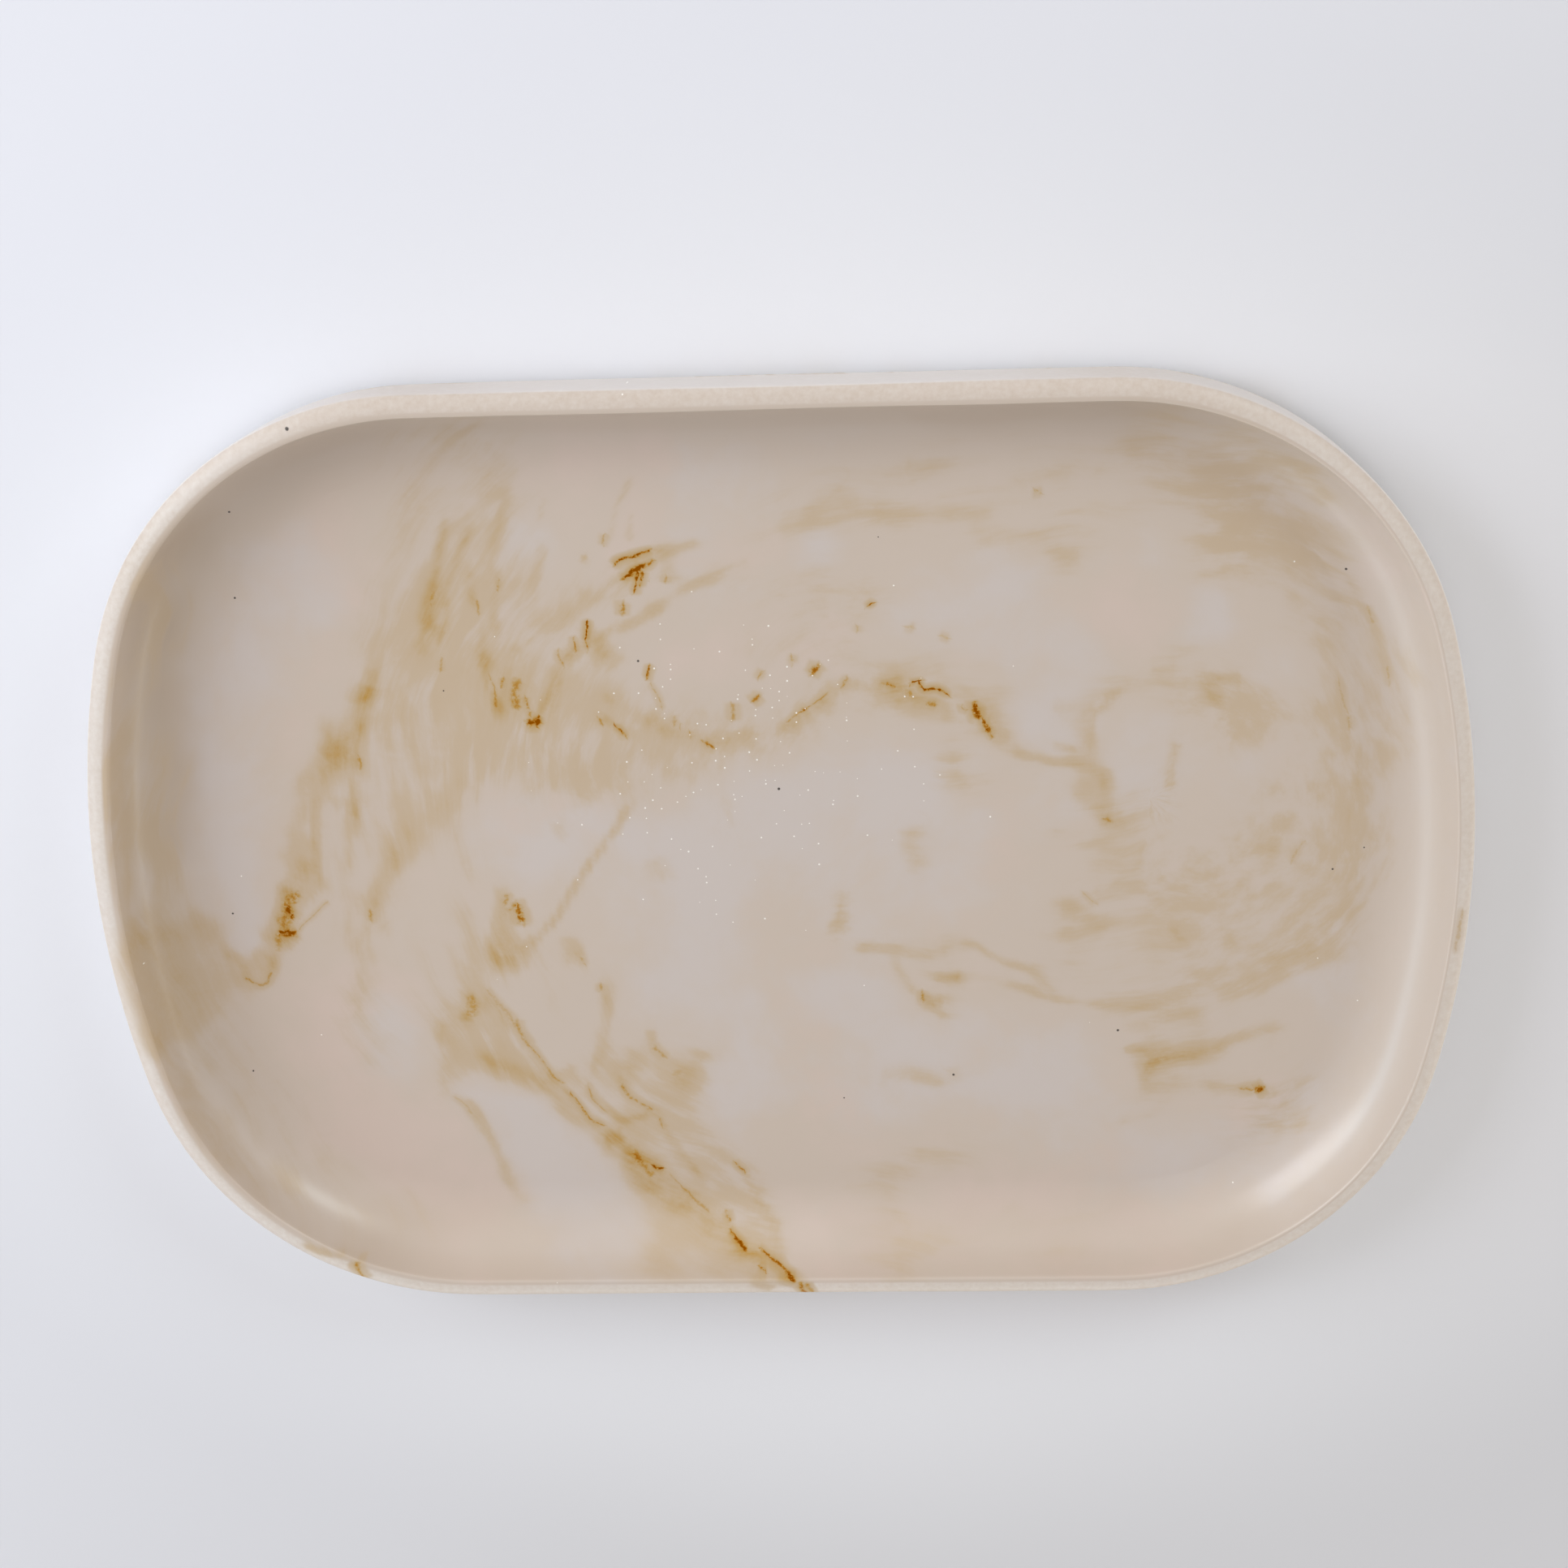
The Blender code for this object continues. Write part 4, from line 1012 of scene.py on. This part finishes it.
padShape = {
    "sides": 48,
    "edgeRounding": 0.45 * mm,
    "edgeSteps": 3,
    "dimpleInset": 1.6 * mm,     # a shallow dimple under each pad
    "dimpleDepth": 0.25 * mm,
    "glueInset": 0.35 * mm,      # the glue layer is a little smaller than its pad
    "crispAngle": math.radians(35),
}


def modelPad(shape, node):
    low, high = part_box(node)
    deselectAll()
    bpy.ops.mesh.primitive_cylinder_add(
        vertices=shape["sides"], radius=(high.x - low.x) / 2, depth=high.z - low.z,
        location=(low + high) / 2,
    )
    pad = bpy.context.object
    pad.name = pad.data.name = node.replace("foot_pad", "silicone_pad")
    applyPlace(pad)
    editMode()
    pickElements(pad, "faces", lambda face: face.normal.z < -0.9)
    bpy.ops.mesh.inset(thickness=shape["dimpleInset"])
    bpy.ops.mesh.inset(thickness=shape["dimpleInset"], depth=-shape["dimpleDepth"])
    pickElements(pad, "edges", lambda edge: atHeight(edge, low.z) and turnsAt(edge))
    bpy.ops.mesh.bevel(offset=shape["edgeRounding"], segments=shape["edgeSteps"], affect="EDGES")
    pickElements(pad, "faces", lambda face: face.normal.z > 0.9)
    bpy.ops.mesh.inset(thickness=shape["glueInset"])
    bpy.ops.mesh.extrude_region_move(TRANSFORM_OT_translate={"value": (0, 0, bodyLow.z - high.z)})
    objectMode()
    bpy.ops.object.shade_smooth_by_angle(angle=shape["crispAngle"])
    return pad


silicone = {
    "body": srgb(190, 188, 184),
    "dust": srgb(164, 160, 153),
    "dustSize": 3 * mm,
    "dustRange": (0.45, 0.75),   # the noise's share from clean to dusty
    "grain": (0.4 * mm, 3.0, 0.3, 0.03 * mm),     # size, detail, strength and depth
    "roughness": 0.4,
    "unevenRoughness": 0.2,
}


def siliconeMaterial(look):
    material, shader = startMaterial("pad_silicone")
    place = addNode("TexCoord").outputs["Object"]
    blotches = noiseAt(place, look["dustSize"], 4.0)
    dusty = smoothRange(blotches, *look["dustRange"])
    setInputs(shader, {
        "Base Color": blendColors(dusty, look["body"], look["dust"]),
        "Roughness": calc("MULTIPLY_ADD", blotches, look["unevenRoughness"], look["roughness"]),
        "Normal": addBump(place, *look["grain"]),
    })
    return material


padFinish = siliconeMaterial(silicone)
for node in sorted(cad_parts):
    if node.startswith("foot_pad"):
        pad = modelPad(padShape, node)
        pad.data.materials.clear()
        pad.data.materials.append(padFinish)
        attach(pad, "root")
        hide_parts(node)
        print("pad made:", pad.name)


# The floor

floorLook = {
    "size": 8.0,
    # painted light and shade: the floor is darker in front and to the right, paler at the back
    "near": srgb(212, 213, 217),
    "far": srgb(226, 228, 236),
    "slant": -0.90,              # the near tone reaches further back on the right
    "turn": 0.25,                # from the near tone to the far one over this distance
    "patchSize": 1 / 6,          # the tone isn't quite even
    "patches": 0.4,
    "glow": 0.70,                # painted light: how far the floor right round the tray goes towards the glow colour, lightening the tray's shadow
    "glowColor": srgb(238, 240, 245),
    "glowShape": (1, 1.3, 0),
    "glowShift": (-0.02, 0.015, 0),     # added to the place, so the glow lies this much the other way
    "glowStart": 0.14,
    "glowEnd": 0.26,
    "roughness": 0.9,
    "gloss": 0.2,
}


def makeFloor(look):
    deselectAll()
    bpy.ops.mesh.primitive_plane_add(size=look["size"], location=(0, 0, cadLow.z))
    floor = bpy.context.object
    floor.name = "pale_floor"
    material, shader = startMaterial("pale_floor")
    place = addNode("TexCoord").outputs["Object"]
    across = separate(place)
    # Painted light and shade: darker in front and to the right, paler at the back
    away = calc("MULTIPLY_ADD", across["X"], look["slant"], across["Y"])
    tone = smoothRange(away, -look["turn"], look["turn"])
    patches = centred(noiseAt(place, look["patchSize"]))
    tone = calc("MULTIPLY_ADD", patches, look["patches"], tone, clamp=True)
    color = blendColors(tone, look["near"], look["far"])
    # Painted light: the floor is paler right round the tray, which lightens the tray's shadow on it
    toTray = vectorCalc("MULTIPLY_ADD", place, look["glowShape"], look["glowShift"])
    toTray = lengthOf(toTray)
    glow = fadeOut(toTray, look["glowStart"], look["glowEnd"], look["glow"])
    setInputs(shader, {
        "Base Color": blendColors(glow, color, look["glowColor"]),
        "Roughness": look["roughness"],
        "Specular IOR Level": look["gloss"],
    })
    floor.data.materials.append(material)


makeFloor(floorLook)


# Light: soft boxes all round, strongest on the left, and two slim ones at floor level that light
# only the outer wall and the rim, in a pale, warm light that comes from everywhere and is dimmer
# in front and to the right

lights = {
    # name: (direction from the tray, width, height, power, colour)
    "leftBox": ((-0.82, 0.42, 0.42), 0.9, 0.6, 6.6, (0.92, 0.96, 1.0)),
    "leftUpper": ((-0.62, 0.38, 0.70), 0.5, 0.35, 2.6, (0.85, 0.88, 1.0)),
    "rightBox": ((0.90, 0.32, 0.28), 1.2, 0.8, 2.0, (0.96, 0.96, 1.0)),
    "backRight": ((0.54, 0.66, 0.54), 0.5, 0.45, 2.9, (0.86, 0.98, 1.0)),
    "frontLeft": ((-0.70, -0.65, 0.22), 1.2, 0.5, 2.2, (0.80, 0.92, 1.0)),
    "lowLeft": ((-0.97, 0.0, 0.25), 0.8, 0.4, 2.8, (0.45, 0.75, 1.0)),
    "lowFront": ((0.0, -1.0, 0.035), 1.4, 0.09, 3.8, (0.98, 1.0, 0.96)),
    "lowRight": ((0.86, -0.44, 0.035), 1.1, 0.09, 3.8, (0.98, 1.0, 0.96)),
}
lightDistance = 1.3
surround = {
    "color": (1.0, 0.92, 0.85, 1),
    "bright": 0.73,              # the strength at the back and the left
    "dim": 0.475,                # and in front and to the right
    "dimSide": (0.6, -0.8, 0),
    "seen": (0.80, 0.80, 0.83, 1),      # what the camera and reflections see
}


def addLight(name, direction, width, height, power, color):
    lamp = bpy.data.lights.new(name, "AREA")
    lamp.shape = "RECTANGLE"
    lamp.size, lamp.size_y = width, height
    lamp.energy = power
    lamp.color = color
    lampObject = bpy.data.objects.new(name, lamp)
    scene.collection.objects.link(lampObject)
    lampObject.location = Vector(direction).normalized() * lightDistance
    lampObject.rotation_euler = (-lampObject.location).to_track_quat("-Z", "Y").to_euler()


def makeSurround(look):
    scene.world = bpy.data.worlds.new("paleSurround")
    workIn(scene.world).clear()
    direction = addNode("TexCoord").outputs["Generated"]
    side = vectorCalc("DOT_PRODUCT", direction, look["dimSide"], output="Value")
    strength = smoothRange(side, -1, 1, look["bright"], look["dim"])
    lit = addNode("Background", {"Color": look["color"], "Strength": strength})
    seen = addNode("Background", {"Color": look["seen"]})
    rays = addNode("LightPath").outputs
    direct = rays["Is Camera Ray"]
    for kind in ("Is Glossy Ray", "Is Transmission Ray"):
        direct = calc("MAXIMUM", direct, rays[kind])
    mix = addNode("MixShader", {0: direct, 1: lit.outputs[0], 2: seen.outputs[0]})
    addNode("OutputWorld", {0: mix.outputs[0]})


for name, values in lights.items():
    addLight(name, *values)
makeSurround(surround)
print("lit by", len(lights), "lamps")


# The camera, matched to the tray's outlines in the reference picture

view = {
    "place": (43.4 * mm, 260.0 * mm, 631.4 * mm),
    "turn": (-21.612, 2.939, -2.206),     # degrees about X, Y and Z
    "lens": 70.487,                       # millimetres, and so is the sensor
    "sensor": 36,
    "clip": (0.01, 50),
}
camera = bpy.data.objects.new("camera", bpy.data.cameras.new("camera"))
scene.collection.objects.link(camera)
camera.location = view["place"]
camera.rotation_euler = [math.radians(angle) for angle in view["turn"]]
camera.data.lens = view["lens"]
camera.data.sensor_width = view["sensor"]
camera.data.clip_start, camera.data.clip_end = view["clip"]
scene.camera = camera
